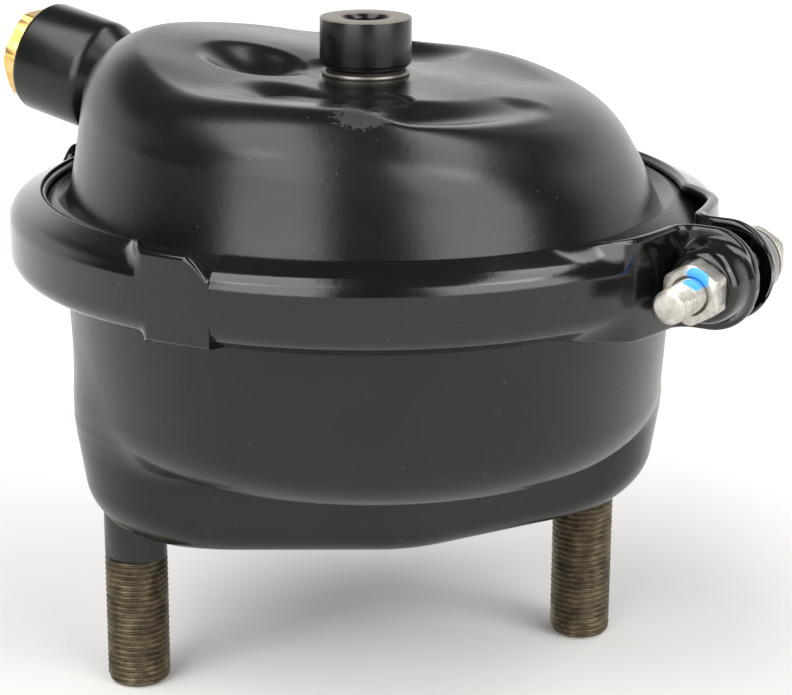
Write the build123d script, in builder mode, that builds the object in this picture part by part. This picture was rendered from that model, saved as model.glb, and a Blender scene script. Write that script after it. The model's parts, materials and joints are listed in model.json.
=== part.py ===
from build123d import *
import os
from math import atan2, cos, degrees, radians, sin, sqrt, tan

os.makedirs("parts", exist_ok=True)

# Diaphragm air brake chamber for a disc brake caliper, 20 square inch size.
# Frame: origin at the centre of the two-stud pattern on the mounting face, X along
# the line of the studs, Z up through the pressure housing. Lengths are in
# millimetres, angles in degrees, azimuths are counted from X towards Y.

# ---------------------------------------------------------------- driving dimensions

SHEET = 3.0                  # wall of both pressed housings

# Mounting studs, M16 x 1.5, pressed into a plate inside the foot
STUD_SPACING = 120.65
STUD_DIAMETER = 16.0
STUD_REACH = 41.2            # mounting face to tip
STUD_TIP_ROUND = 2.4
STUD_HEAD_DIAMETER = 24.0
STUD_HEAD_HEIGHT = 5.0
STUD_HEAD_CHAMFER = 1.0
STUD_SHOULDER_DIAMETER = 17.4   # pressed into the plate and the foot
STUD_HOLE_GAP = 0.1             # round each stud's shoulder
STUD_PLATE_THICKNESS = 5.0
STUD_PLATE_GAP = 0.4         # between the plate's rim and the foot's wall

# Foot under the lower can: hull of a middle circle and two end circles
FOOT_MIDDLE_RADIUS = 37.0
FOOT_END_RADIUS = 25.3
FOOT_END_OFFSET = 46.7
FOOT_DRAFT = 2.0
FOOT_ROUND = 7.0
FOOT_OPENING_RADIUS = 24.0   # where the caliper's lever meets the push rod

# Lower can
CAN_FLOOR_HEIGHT = 23.5
CAN_FLOOR_RADIUS = 73.4      # where the wall line meets the floor
CAN_RIM_RADIUS = 76.6        # where the wall meets the flange
CAN_ROUND = 12.0

# Clamp ring: a V channel whose mouth grips the two flanges
CLAMP_HEIGHT = 76.5          # joint plane above the mounting face
CLAMP_RADIUS = 88.2
CLAMP_CORNER = 7.1           # half height at the sharp corner of web and flange
CLAMP_SLOPE = 25.0
CLAMP_LIP_RADIUS = 80.6
CLAMP_SHEET = 2.8
CLAMP_BEND = 4.8             # outside bend radius of web into flange
CLAMP_GAP_AZIMUTH = -44.8    # where the ring is split and bolted
FLEX_AZIMUTHS = (-133.5, 42.0, 136.0)
FLEX_NOTCH_ARC = 11.0        # flanges cut away here so that the ring can open
FLEX_STRIP_ARC = 13.0
FLEX_STRIP_HALF_HEIGHT = 10.4
STRIP_INSET = 0.1            # plain strips lie this far inside the channel's two skins

# Ears and bolt of the clamp, M8
EAR_STRIP_ARC = 41.0         # flat part of the ring on which both ears stand
EAR_STRIP_OVERLAP = 1.0      # arc over which strip and channel run together
EAR_HALF_GAP = 3.3
EAR_HALF_HEIGHT = 11.4
EAR_REACH = 106.5            # radius of the ears' tips
EAR_BEND = 4.5               # where an ear leaves the ring
EAR_TIP_ROUND = 11.2
EAR_CUP_RADIUS = 9.0         # cup pressed out of each ear, on which bolt and nut sit
EAR_CUP_ROUND = 2.0
EAR_HOLE_GAP = 0.4
BOLT_RADIAL_PLACE = 96.4
BOLT_HEIGHT = 75.8           # of the bolt's axis and of the ears' middle
BOLT_SEAT = 14.6             # from the middle of the gap to the cups' end faces
BOLT_DIAMETER = 8.0
BOLT_LENGTH = 48.0
BOLT_TIP_CHAMFER = 1.1
BOLT_FLANGE_RADIUS = 8.5     # flanged hexagon head
BOLT_FLANGE_THICKNESS = 1.5
BOLT_HEAD_HEIGHT = 5.5       # of the hexagon above the flange
HEX_ACROSS_FLATS = 13.0
HEX_CHAMFER = 1.0
NUT_HEIGHT = 6.8
NUT_THREAD_GAP = 0.05

# Flanges of the housings, and the diaphragm's bead between them
FLANGE_RADIUS = 84.6
FLANGE_INNER_RADIUS = 76.5
JOINT_GAP = 0.1              # flange to clamp, and bead to flange

# Pressure housing
DOME_RIM_RADIUS = 73.6       # of the wall at its foot, where the flange starts
DOME_WALL_HEIGHT = 104.0     # height at which the wall's radius is given next
DOME_WALL_RADIUS = 68.3
CROWN_HEIGHT = 116.3         # of the tilted crown on the axis
CROWN_TILT = 6.3
CROWN_HIGH_AZIMUTH = 165.0
CROWN_ROUND = 19.0
PLATEAU_HEIGHT = 114.0       # flat seat of the central port
PLATEAU_PLACE = 11.0
PLATEAU_AZIMUTH = -120.0
PLATEAU_RADIUS = 27.0
PLATEAU_SLOPE = 52.0
CORNER_HEIGHT = 115.6         # second flat, beside the plateau
CORNER_PLACE = 47.0
CORNER_AZIMUTH = -156.0
CORNER_RADIUS = 19.0
BOWL_AZIMUTH = 146.0         # round hollow between the two ports
BOWL_PLACE = 29.0
BOWL_BALL = 17.0
BOWL_FLOOR = 112.2
HOLLOW_AZIMUTH = 48.0        # smaller hollow behind the central port
HOLLOW_PLACE = 40.0
HOLLOW_BALL = 16.0
HOLLOW_FLOOR = 110.8
VALLEY_AZIMUTHS = (-152.0, -104.0)     # long shallow groove, middle of each end
VALLEY_PLACE = 38.0
VALLEY_TUBE = 9.0
VALLEY_FLOOR = 114.2
CRESCENT_AZIMUTHS = (-88.0, -58.0)     # second, deeper groove further out
CRESCENT_PLACE = 45.0
CRESCENT_TUBE = 10.0
CRESCENT_FLOOR = 109.6

# Central port boss, with an M12 x 1.5 thread
CENTRAL_BOSS_RADIUS = 11.35
CENTRAL_BOSS_TOP = 128.2
CENTRAL_BOSS_CHAMFER = 1.9
CENTRAL_BORE_RADIUS = 5.3
CENTRAL_SPIGOT_RADIUS = 8.5
CENTRAL_RIM_CHAMFER = 0.5
SPIGOT_GAP = 0.05
WELD_LEG = 1.1

# Side port boss: its axis leaves the dome's wall at an upward tilt
SIDE_AZIMUTH = 135.0
SIDE_TILT = 12.0
SIDE_WALL_POINT = (66.0, 102.7)   # radius and height of the axis at the wall
SIDE_BOSS_REACH = 33.7            # wall point to the boss's outer face
SIDE_BOSS_RADIUS = 14.6
SIDE_BODY_LENGTH = 20.0
SIDE_NECK_RADIUS = 11.0
SIDE_SHOULDER = 4.2
SIDE_SPIGOT_RADIUS = 9.0
SIDE_BOSS_ROUND = 1.6
FITTING_ACROSS_FLATS = 22.0
FITTING_HEX_HEIGHT = 5.2
FITTING_SPIGOT_RADIUS = 7.0
FITTING_SPIGOT_LENGTH = 14.0
FITTING_BORE_RADIUS = 4.6
SEAL_RING_THICKNESS = 1.6
SEAL_RING_WIDTH = 2.0

# Push plate, push rod, diaphragm and spring
DIAPHRAGM_SHEET = 3.0
DIAPHRAGM_TOP = 104.0
DIAPHRAGM_CROWN_RADIUS = 58.0
DIAPHRAGM_SKIRT_RADIUS = 67.0
DIAPHRAGM_SKIRT_HEIGHT = 82.0
DIAPHRAGM_ROUND = 12.0
PLATE_RADIUS = 47.0
PLATE_SHEET = 3.5
PLATE_SKIRT = 9.0
PLATE_ROUND = 4.5
ROD_RADIUS = 10.0
ROD_PROTRUSION = 10.0        # beyond the mounting face, brake released
ROD_HEAD_RADIUS = 15.0
ROD_HEAD_HEIGHT = 4.0
SPRING_WIRE = 5.5
SPRING_TOP_RADIUS = 35.0
SPRING_BOTTOM_RADIUS = 27.5
SPRING_TURNS = 5
SPRING_WIRE_SIDES = 10       # the wire's round section in few faces

# Dust boot round the rod, its seat ring, and the seal of the mounting face
BOOT_SHEET = 1.6
BOOT_INNER_RADIUS = 13.0
BOOT_FOLD_DEPTH = 5.5
BOOT_FOLDS = 7
BOOT_LIP_HEIGHT = 6.0
BOOT_COLLAR_RADIUS = 20.5
BOOT_GRIP_GAP = 0.05
SEAT_RING_SHEET = 2.0
SEAT_RING_RADIUS = 32.0
SEAT_TUBE_HEIGHT = 7.0
FACE_SEAL_WIDTH = 3.0
SMALL_GAP = 0.1

# Vent plugs on the hidden side of the lower can
VENT_AZIMUTHS = (72.0, 108.0)
VENT_HEIGHT = 52.0
VENT_HOLE_RADIUS = 5.0
VENT_HEAD_RADIUS = 8.0
VENT_HEAD_HEIGHT = 2.4

# ---------------------------------------------------------------- shared geometry


def radial_plane(azimuth):
    """Upright plane through Z: local x runs outward at the azimuth, local y runs up."""
    a = radians(azimuth)
    return Plane(origin=(0, 0, 0), x_dir=(cos(a), sin(a), 0), z_dir=(sin(a), -cos(a), 0))


def polar(radius, azimuth, height):
    """Point given by its radius and azimuth about Z, and its height."""
    a = radians(azimuth)
    return (radius * cos(a), radius * sin(a), height)


def cone_rise(radius, inset):
    """Height above the joint plane of the clamp's sloping flange, inset from its outside."""
    slope = radians(CLAMP_SLOPE)
    return CLAMP_CORNER + (CLAMP_RADIUS - radius) * tan(slope) - inset / cos(slope)


def arc_bar(inner, outer, low, high, middle, arc):
    """Bar of rectangular section, bent about Z through an arc centred on an azimuth."""
    far = 2 * outer
    side = far * tan(radians(arc / 2))
    with BuildPart() as bar:
        with BuildSketch(Plane.XY.offset(low).rotated((0, 0, middle))):
            Circle(outer)
            Circle(inner, mode=Mode.SUBTRACT)
            Polygon((0, 0), (far, -side), (far, side), align=None, mode=Mode.INTERSECT)
        extrude(amount=high - low)
    return bar.part


def crown_plane(skin):
    """Tilted plane of the crown, lowered by skin."""
    tilt = radians(CROWN_TILT)
    low = radians(CROWN_HIGH_AZIMUTH + 180)
    normal = (sin(tilt) * cos(low), sin(tilt) * sin(low), cos(tilt))
    return Plane(origin=(0, 0, CROWN_HEIGHT), z_dir=normal).offset(-skin)


FLANGE_FACE_INSET = CLAMP_SHEET + JOINT_GAP
BEAD_FACE_INSET = FLANGE_FACE_INSET + SHEET
DOME_BASE = CLAMP_HEIGHT + cone_rise(FLANGE_INNER_RADIUS, BEAD_FACE_INSET)
CAN_TOP = CLAMP_HEIGHT - cone_rise(FLANGE_INNER_RADIUS, BEAD_FACE_INSET)
CAN_FLOOR_INSIDE = CAN_FLOOR_HEIGHT + SHEET
FOOT_INSIDE = SHEET
PLATE_TOP = FOOT_INSIDE + STUD_PLATE_THICKNESS
PEAK = CROWN_HEIGHT + DOME_RIM_RADIUS * tan(radians(CROWN_TILT)) + SHEET

side_direction = Vector(*polar(cos(radians(SIDE_TILT)), SIDE_AZIMUTH, sin(radians(SIDE_TILT))))
side_plane = Plane(origin=polar(SIDE_WALL_POINT[0], SIDE_AZIMUTH, SIDE_WALL_POINT[1]), z_dir=side_direction)

gap_azimuth = radians(CLAMP_GAP_AZIMUTH)
bolt_plane = Plane(
    origin=polar(BOLT_RADIAL_PLACE, CLAMP_GAP_AZIMUTH, BOLT_HEIGHT),
    x_dir=(cos(gap_azimuth), sin(gap_azimuth), 0),
    z_dir=(-sin(gap_azimuth), cos(gap_azimuth), 0),
)
EAR_FACE = EAR_HALF_GAP + CLAMP_SHEET
STRIP_OUTER = CLAMP_RADIUS - STRIP_INSET
STRIP_INNER = CLAMP_RADIUS - CLAMP_SHEET + STRIP_INSET

# ---------------------------------------------------------------- pressure housing


def dome_groove(place, tube, floor, azimuths, skin):
    """Round-ended groove pressed along an arc of the crown."""
    height = floor + tube
    with BuildPart() as groove:
        with BuildSketch(radial_plane(azimuths[0])):
            with Locations((place, height)):
                Circle(tube + skin)
        revolve(axis=Axis.Z, revolution_arc=azimuths[1] - azimuths[0])
        with Locations(polar(place, azimuths[0], height), polar(place, azimuths[1], height)):
            Sphere(tube + skin)
    return groove.part


def pressed_dome(skin):
    """Body inside the dome's surface, that surface being moved inward by skin."""
    taper = (DOME_RIM_RADIUS - DOME_WALL_RADIUS) / (DOME_WALL_HEIGHT - DOME_BASE)
    peak_radius = DOME_RIM_RADIUS - taper * (PEAK - DOME_BASE)
    with BuildPart() as form:
        with BuildSketch(Plane.XZ):
            with BuildLine():
                Polyline(
                    (0, DOME_BASE),
                    (DOME_RIM_RADIUS - skin, DOME_BASE),
                    (peak_radius - skin, PEAK),
                    (0, PEAK),
                    close=True,
                )
            make_face()
        revolve(axis=Axis.Z)
        split(bisect_by=crown_plane(skin), keep=Keep.BOTTOM)
        fillet(form.faces().sort_by(Axis.Z)[-1].edges(), CROWN_ROUND - skin)
        with BuildSketch(Plane.XY.offset(PLATEAU_HEIGHT - skin)):
            with Locations(polar(PLATEAU_PLACE, PLATEAU_AZIMUTH, 0)):
                Circle(PLATEAU_RADIUS + skin)
        extrude(amount=PEAK - PLATEAU_HEIGHT, taper=-PLATEAU_SLOPE, mode=Mode.SUBTRACT)
        with BuildSketch(Plane.XY.offset(CORNER_HEIGHT - skin)):
            with Locations(polar(CORNER_PLACE, CORNER_AZIMUTH, 0)):
                Circle(CORNER_RADIUS + skin)
        extrude(amount=PEAK - CORNER_HEIGHT, taper=-PLATEAU_SLOPE, mode=Mode.SUBTRACT)
        with Locations(polar(BOWL_PLACE, BOWL_AZIMUTH, BOWL_FLOOR + BOWL_BALL)):
            Sphere(BOWL_BALL + skin, mode=Mode.SUBTRACT)
        with Locations(polar(HOLLOW_PLACE, HOLLOW_AZIMUTH, HOLLOW_FLOOR + HOLLOW_BALL)):
            Sphere(HOLLOW_BALL + skin, mode=Mode.SUBTRACT)
        add(
            dome_groove(VALLEY_PLACE, VALLEY_TUBE, VALLEY_FLOOR, VALLEY_AZIMUTHS, skin),
            mode=Mode.SUBTRACT,
        )
        add(
            dome_groove(CRESCENT_PLACE, CRESCENT_TUBE, CRESCENT_FLOOR, CRESCENT_AZIMUTHS, skin),
            mode=Mode.SUBTRACT,
        )
    return form.part


def flange_sheet(side):
    """Sloping rim of a housing; side is 1 above the joint plane and -1 below it."""
    rim = [
        (FLANGE_INNER_RADIUS, cone_rise(FLANGE_INNER_RADIUS, FLANGE_FACE_INSET)),
        (FLANGE_RADIUS, cone_rise(FLANGE_RADIUS, FLANGE_FACE_INSET)),
        (FLANGE_RADIUS, cone_rise(FLANGE_RADIUS, BEAD_FACE_INSET)),
        (FLANGE_INNER_RADIUS, cone_rise(FLANGE_INNER_RADIUS, BEAD_FACE_INSET)),
    ]
    with BuildPart() as sheet:
        with BuildSketch(Plane.XZ):
            with BuildLine():
                Polyline(*[(r, CLAMP_HEIGHT + side * rise) for r, rise in rim], close=True)
            make_face()
        revolve(axis=Axis.Z)
    return sheet.part


with BuildPart() as pressure_housing:
    add(pressed_dome(0))
    shelf_top = CLAMP_HEIGHT + cone_rise(FLANGE_INNER_RADIUS, FLANGE_FACE_INSET)
    with BuildSketch(Plane.XY.offset(DOME_BASE)):
        Circle(FLANGE_INNER_RADIUS)
    extrude(amount=shelf_top - DOME_BASE)
    add(flange_sheet(1))
    add(pressed_dome(SHEET), mode=Mode.SUBTRACT)
    with BuildSketch(Plane.XY.offset(PLATEAU_HEIGHT)):
        Circle(CENTRAL_SPIGOT_RADIUS + SPIGOT_GAP)
    extrude(amount=-2 * SHEET, mode=Mode.SUBTRACT)
    with BuildSketch(side_plane):
        Circle(SIDE_SPIGOT_RADIUS + SPIGOT_GAP)
    extrude(amount=4 * SHEET, both=True, mode=Mode.SUBTRACT)
pressure_housing.part.label = "pressure_housing"
export_step(pressure_housing.part, "parts/pressure_housing.step")

# ---------------------------------------------------------------- port bosses

with BuildPart() as central_port_boss:
    with BuildSketch(Plane.XZ):
        with BuildLine():
            Polyline(
                (CENTRAL_BORE_RADIUS, PLATEAU_HEIGHT - SHEET),
                (CENTRAL_SPIGOT_RADIUS, PLATEAU_HEIGHT - SHEET),
                (CENTRAL_SPIGOT_RADIUS, PLATEAU_HEIGHT),
                (CENTRAL_BOSS_RADIUS - CENTRAL_BOSS_CHAMFER + WELD_LEG, PLATEAU_HEIGHT),
                (CENTRAL_BOSS_RADIUS - CENTRAL_BOSS_CHAMFER, PLATEAU_HEIGHT + WELD_LEG),
                (CENTRAL_BOSS_RADIUS, PLATEAU_HEIGHT + WELD_LEG + CENTRAL_BOSS_CHAMFER),
                (CENTRAL_BOSS_RADIUS, CENTRAL_BOSS_TOP - CENTRAL_RIM_CHAMFER),
                (CENTRAL_BOSS_RADIUS - CENTRAL_RIM_CHAMFER, CENTRAL_BOSS_TOP),
                (CENTRAL_BORE_RADIUS + CENTRAL_RIM_CHAMFER, CENTRAL_BOSS_TOP),
                (CENTRAL_BORE_RADIUS, CENTRAL_BOSS_TOP - CENTRAL_RIM_CHAMFER),
                close=True,
            )
        make_face()
    revolve(axis=Axis.Z)
central_port_boss.part.label = "central_port_boss"
export_step(central_port_boss.part, "parts/central_port_boss.step")

SIDE_BODY_START = SIDE_BOSS_REACH - SIDE_BODY_LENGTH
SEAL_RING_INNER = FITTING_SPIGOT_RADIUS + SMALL_GAP
SEAL_SEAT_RADIUS = SEAL_RING_INNER + SEAL_RING_WIDTH + SMALL_GAP

with BuildPart() as side_port_boss:
    with BuildSketch(side_plane):
        Circle(SIDE_NECK_RADIUS)
    extrude(amount=SIDE_BODY_START)
    with BuildSketch(side_plane):
        Circle(SIDE_NECK_RADIUS)
    extrude(amount=-3 * SHEET)
    with BuildSketch(side_plane.offset(SIDE_BODY_START - SIDE_SHOULDER)):
        Circle(SIDE_NECK_RADIUS)
    with BuildSketch(side_plane.offset(SIDE_BODY_START)):
        Circle(SIDE_BOSS_RADIUS)
    loft()
    with BuildSketch(side_plane.offset(SIDE_BODY_START)):
        Circle(SIDE_BOSS_RADIUS)
    extrude(amount=SIDE_BODY_LENGTH)
    outer_rim = side_port_boss.faces().sort_by(Axis(side_plane.origin, side_plane.z_dir))[-1].edges()
    fillet(outer_rim, SIDE_BOSS_ROUND)
    add(pressed_dome(0), mode=Mode.SUBTRACT)
    with BuildSketch(side_plane.offset(-2 * SHEET)):
        Circle(SIDE_SPIGOT_RADIUS)
    extrude(amount=3 * SHEET)
    add(pressed_dome(SHEET), mode=Mode.SUBTRACT)
    with BuildSketch(side_plane.offset(SIDE_BOSS_REACH)):
        Circle(FITTING_SPIGOT_RADIUS + SPIGOT_GAP)
    extrude(amount=-SIDE_BOSS_REACH - 4 * SHEET, mode=Mode.SUBTRACT)
    with BuildSketch(side_plane.offset(SIDE_BOSS_REACH)):
        Circle(SEAL_SEAT_RADIUS)
    extrude(amount=-SEAL_RING_THICKNESS, mode=Mode.SUBTRACT)
side_port_boss.part.label = "side_port_boss"
export_step(side_port_boss.part, "parts/side_port_boss.step")

with BuildPart() as side_port_fitting:
    with BuildSketch(side_plane.offset(SIDE_BOSS_REACH)):
        RegularPolygon(radius=FITTING_ACROSS_FLATS / 2, side_count=6, major_radius=False)
    extrude(amount=FITTING_HEX_HEIGHT)
    with BuildSketch(side_plane.offset(SIDE_BOSS_REACH - FITTING_SPIGOT_LENGTH)):
        Circle(FITTING_SPIGOT_RADIUS)
    extrude(amount=FITTING_SPIGOT_LENGTH)
    with BuildSketch(side_plane.offset(SIDE_BOSS_REACH + FITTING_HEX_HEIGHT)):
        Circle(FITTING_BORE_RADIUS)
    extrude(amount=-FITTING_HEX_HEIGHT - FITTING_SPIGOT_LENGTH, mode=Mode.SUBTRACT)
side_port_fitting.part.label = "side_port_fitting"
export_step(side_port_fitting.part, "parts/side_port_fitting.step")

with BuildPart() as side_port_seal:
    with BuildSketch(side_plane.offset(SIDE_BOSS_REACH)):
        Circle(SEAL_RING_INNER + SEAL_RING_WIDTH)
        Circle(SEAL_RING_INNER, mode=Mode.SUBTRACT)
    extrude(amount=-SEAL_RING_THICKNESS)
side_port_seal.part.label = "side_port_seal"
export_step(side_port_seal.part, "parts/side_port_seal.step")

# ---------------------------------------------------------------- lower can


def foot_outline(inset):
    """Plan of the foot, moved inward by inset."""
    with BuildSketch() as outline:
        Circle(FOOT_MIDDLE_RADIUS - inset)
        with Locations((-FOOT_END_OFFSET, 0), (FOOT_END_OFFSET, 0)):
            Circle(FOOT_END_RADIUS - inset)
        make_hull()
    return outline.sketch


def pressed_can(skin):
    """Body inside the lower can's surface, that surface being moved inward by skin."""
    with BuildPart() as form:
        with BuildSketch(Plane.XZ):
            with BuildLine():
                Polyline(
                    (0, CAN_FLOOR_HEIGHT + skin),
                    (CAN_FLOOR_RADIUS - skin, CAN_FLOOR_HEIGHT + skin),
                    (CAN_RIM_RADIUS - skin, CAN_TOP),
                    (0, CAN_TOP),
                    close=True,
                )
            make_face()
        revolve(axis=Axis.Z)
        fillet(form.faces().sort_by(Axis.Z)[0].edges(), CAN_ROUND - skin)
        with BuildSketch(Plane.XY.offset(skin)):
            add(foot_outline(skin))
        extrude(amount=CAN_FLOOR_HEIGHT + CAN_ROUND - skin, taper=-FOOT_DRAFT)
        fillet(form.faces().sort_by(Axis.Z)[0].edges(), FOOT_ROUND - skin)
    return form.part


with BuildPart() as non_pressure_housing:
    add(pressed_can(0))
    shelf_bottom = CLAMP_HEIGHT - cone_rise(FLANGE_INNER_RADIUS, FLANGE_FACE_INSET)
    with BuildSketch(Plane.XY.offset(shelf_bottom)):
        Circle(FLANGE_INNER_RADIUS)
    extrude(amount=CAN_TOP - shelf_bottom)
    add(flange_sheet(-1))
    add(pressed_can(SHEET), mode=Mode.SUBTRACT)
    with BuildSketch(Plane.XY):
        Circle(FOOT_OPENING_RADIUS)
    extrude(amount=2 * SHEET, mode=Mode.SUBTRACT)
    with BuildSketch(Plane.XY):
        with GridLocations(STUD_SPACING, 0, 2, 1):
            Circle(STUD_SHOULDER_DIAMETER / 2 + STUD_HOLE_GAP)
    extrude(amount=PLATE_TOP, mode=Mode.SUBTRACT)
    for azimuth in VENT_AZIMUTHS:
        a = radians(azimuth)
        with BuildSketch(Plane(origin=(0, 0, VENT_HEIGHT), z_dir=(cos(a), sin(a), 0))):
            Circle(VENT_HOLE_RADIUS)
        extrude(amount=FLANGE_RADIUS, mode=Mode.SUBTRACT)
non_pressure_housing.part.label = "non_pressure_housing"
export_step(non_pressure_housing.part, "parts/non_pressure_housing.step")

# ---------------------------------------------------------------- studs and their plate

with BuildPart() as stud_plate:
    with BuildSketch(Plane.XY.offset(FOOT_INSIDE)):
        add(foot_outline(SHEET + STUD_PLATE_GAP))
    extrude(amount=STUD_PLATE_THICKNESS)
    fillet(stud_plate.faces().sort_by(Axis.Z)[0].edges(), FOOT_ROUND - SHEET)
    with BuildSketch(Plane.XY.offset(FOOT_INSIDE)):
        Circle(FOOT_OPENING_RADIUS)
        with GridLocations(STUD_SPACING, 0, 2, 1):
            Circle(STUD_SHOULDER_DIAMETER / 2 + STUD_HOLE_GAP)
    extrude(amount=STUD_PLATE_THICKNESS, mode=Mode.SUBTRACT)
stud_plate.part.label = "stud_plate"
export_step(stud_plate.part, "parts/stud_plate.step")


def mounting_stud(side):
    """Stud whose head is cut to the foot's inner wall; side is -1 or 1 along X."""
    with BuildPart() as stud:
        with BuildSketch(Plane.XY.offset(PLATE_TOP)):
            with Locations((side * STUD_SPACING / 2, 0)):
                Circle(STUD_HEAD_DIAMETER / 2)
            add(foot_outline(SHEET + STUD_PLATE_GAP), mode=Mode.INTERSECT)
        extrude(amount=STUD_HEAD_HEIGHT)
        chamfer(stud.faces().sort_by(Axis.Z)[-1].edges(), STUD_HEAD_CHAMFER)
        with BuildSketch(Plane.XY.offset(PLATE_TOP)):
            with Locations((side * STUD_SPACING / 2, 0)):
                Circle(STUD_SHOULDER_DIAMETER / 2)
        extrude(amount=-PLATE_TOP)
        with BuildSketch(Plane.XY):
            with Locations((side * STUD_SPACING / 2, 0)):
                Circle(STUD_DIAMETER / 2)
        extrude(amount=-STUD_REACH)
        fillet(stud.faces().sort_by(Axis.Z)[0].edges(), STUD_TIP_ROUND)
    return stud.part


for name, side in (("left_mounting_stud", -1), ("right_mounting_stud", 1)):
    stud = mounting_stud(side)
    stud.label = name
    export_step(stud, f"parts/{name}.step")

# ---------------------------------------------------------------- clamp ring


bolt_axis = Axis(bolt_plane.origin, bolt_plane.z_dir)


def channel_outline(inset):
    """Outline of the clamp channel at an inset, from the upper lip round to the lower one."""
    web = CLAMP_RADIUS - inset
    upper = [(r, cone_rise(r, inset)) for r in (CLAMP_LIP_RADIUS, web)]
    lower = [(r, -rise) for r, rise in reversed(upper)]
    return [(r, CLAMP_HEIGHT + rise) for r, rise in upper + lower]


def notch_bar(azimuth, arc):
    """Cutter that takes the whole channel away over an arc."""
    inner = CLAMP_LIP_RADIUS - CLAMP_SHEET
    return arc_bar(inner, CLAMP_RADIUS + CLAMP_SHEET, 0, 2 * CLAMP_HEIGHT, azimuth, arc)


def flat_strip(azimuth, arc):
    """Plain upright strip that carries the ring across a notch."""
    low = CLAMP_HEIGHT - FLEX_STRIP_HALF_HEIGHT
    high = CLAMP_HEIGHT + FLEX_STRIP_HALF_HEIGHT
    return arc_bar(STRIP_INNER, STRIP_OUTER, low, high, azimuth, arc)


def ear_cup():
    """Round cup that stands out of an ear as far as the seat of the bolt or the nut."""
    with BuildPart() as cup:
        with BuildSketch(bolt_plane.offset(EAR_HALF_GAP)):
            Circle(EAR_CUP_RADIUS)
        extrude(amount=BOLT_SEAT - EAR_HALF_GAP)
        fillet(cup.faces().sort_by(bolt_axis)[-1].edges(), EAR_CUP_ROUND)
    return cup.part


def clamp_ear():
    """Flat end of the ring on one side of the gap, bent outward into an upright ear."""
    plan_plane = Plane(
        origin=(0, 0, BOLT_HEIGHT - EAR_HALF_HEIGHT), x_dir=bolt_plane.x_dir, z_dir=(0, 0, 1)
    )
    far = 2 * CLAMP_RADIUS
    far_corner = (far, far * tan(radians(EAR_STRIP_ARC / 2)))
    root_corner = plan_plane.from_local_coords((sqrt(STRIP_OUTER**2 - EAR_FACE**2), EAR_FACE, 0))
    with BuildPart() as ear:
        with BuildSketch(plan_plane):
            Circle(STRIP_OUTER)
            Circle(STRIP_INNER, mode=Mode.SUBTRACT)
            Polygon((0, 0), (far, 0), far_corner, align=None, mode=Mode.INTERSECT)
            with Locations((STRIP_INNER, 0)):
                Rectangle(EAR_REACH - STRIP_INNER, EAR_FACE, align=(Align.MIN, Align.MIN))
            with Locations((0, 0)):
                Rectangle(far, EAR_HALF_GAP, align=(Align.MIN, Align.MIN), mode=Mode.SUBTRACT)
        extrude(amount=2 * EAR_HALF_HEIGHT)
        upright = ear.edges().filter_by(Axis.Z)
        fillet(upright.sort_by_distance(root_corner)[0], EAR_BEND)
        tip = ear.faces().sort_by(Axis((0, 0, 0), bolt_plane.x_dir))[-1]
        fillet(tip.edges().filter_by(bolt_axis), EAR_TIP_ROUND)
        add(ear_cup())
        with BuildSketch(bolt_plane):
            Circle(EAR_CUP_RADIUS - CLAMP_SHEET)
        extrude(amount=BOLT_SEAT - CLAMP_SHEET, mode=Mode.SUBTRACT)
        with BuildSketch(bolt_plane):
            Circle(BOLT_DIAMETER / 2 + EAR_HOLE_GAP)
        extrude(amount=2 * BOLT_SEAT, mode=Mode.SUBTRACT)
    return ear.part


with BuildPart() as clamp_band:
    with BuildSketch(Plane.XZ) as channel:
        with BuildLine():
            Polyline(*channel_outline(0), *reversed(channel_outline(CLAMP_SHEET)), close=True)
        make_face()
        corners = channel.vertices().group_by(Axis.X)
        fillet(corners[-1], CLAMP_BEND)
        fillet(corners[-2], CLAMP_BEND - CLAMP_SHEET)
    revolve(axis=Axis.Z)
    for azimuth in FLEX_AZIMUTHS:
        add(notch_bar(azimuth, FLEX_NOTCH_ARC), mode=Mode.SUBTRACT)
        add(flat_strip(azimuth, FLEX_STRIP_ARC))
    add(notch_bar(CLAMP_GAP_AZIMUTH, EAR_STRIP_ARC - EAR_STRIP_OVERLAP), mode=Mode.SUBTRACT)
    ear = clamp_ear()
    add(ear)
    add(mirror(ear, about=bolt_plane, mode=Mode.PRIVATE))
clamp_band.part.label = "clamp_band"
export_step(clamp_band.part, "parts/clamp_band.step")

# ---------------------------------------------------------------- clamp bolt and nut

with BuildPart() as clamp_bolt:
    with BuildSketch(bolt_plane.offset(BOLT_SEAT)):
        Circle(BOLT_FLANGE_RADIUS)
    extrude(amount=BOLT_FLANGE_THICKNESS)
    with BuildSketch(bolt_plane.offset(BOLT_SEAT + BOLT_FLANGE_THICKNESS)):
        RegularPolygon(HEX_ACROSS_FLATS / 2, 6, major_radius=False, rotation=30)
    extrude(amount=BOLT_HEAD_HEIGHT)
    chamfer(clamp_bolt.faces().sort_by(bolt_axis)[-1].edges(), HEX_CHAMFER)
    with BuildSketch(bolt_plane.offset(BOLT_SEAT)):
        Circle(BOLT_DIAMETER / 2)
    extrude(amount=-BOLT_LENGTH)
    chamfer(clamp_bolt.faces().sort_by(bolt_axis)[0].edges(), BOLT_TIP_CHAMFER)
clamp_bolt.part.label = "clamp_bolt"
export_step(clamp_bolt.part, "parts/clamp_bolt.step")

with BuildPart() as clamp_nut:
    with BuildSketch(bolt_plane.offset(-BOLT_SEAT)):
        RegularPolygon(HEX_ACROSS_FLATS / 2, 6, major_radius=False, rotation=30)
    extrude(amount=-NUT_HEIGHT)
    chamfer(clamp_nut.faces().sort_by(bolt_axis)[0].edges(), HEX_CHAMFER)
    with BuildSketch(bolt_plane.offset(-BOLT_SEAT)):
        Circle(BOLT_DIAMETER / 2 + NUT_THREAD_GAP)
    extrude(amount=-NUT_HEIGHT, mode=Mode.SUBTRACT)
clamp_nut.part.label = "clamp_nut"
export_step(clamp_nut.part, "parts/clamp_nut.step")

# ---------------------------------------------------------------- diaphragm, plate and rod

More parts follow.
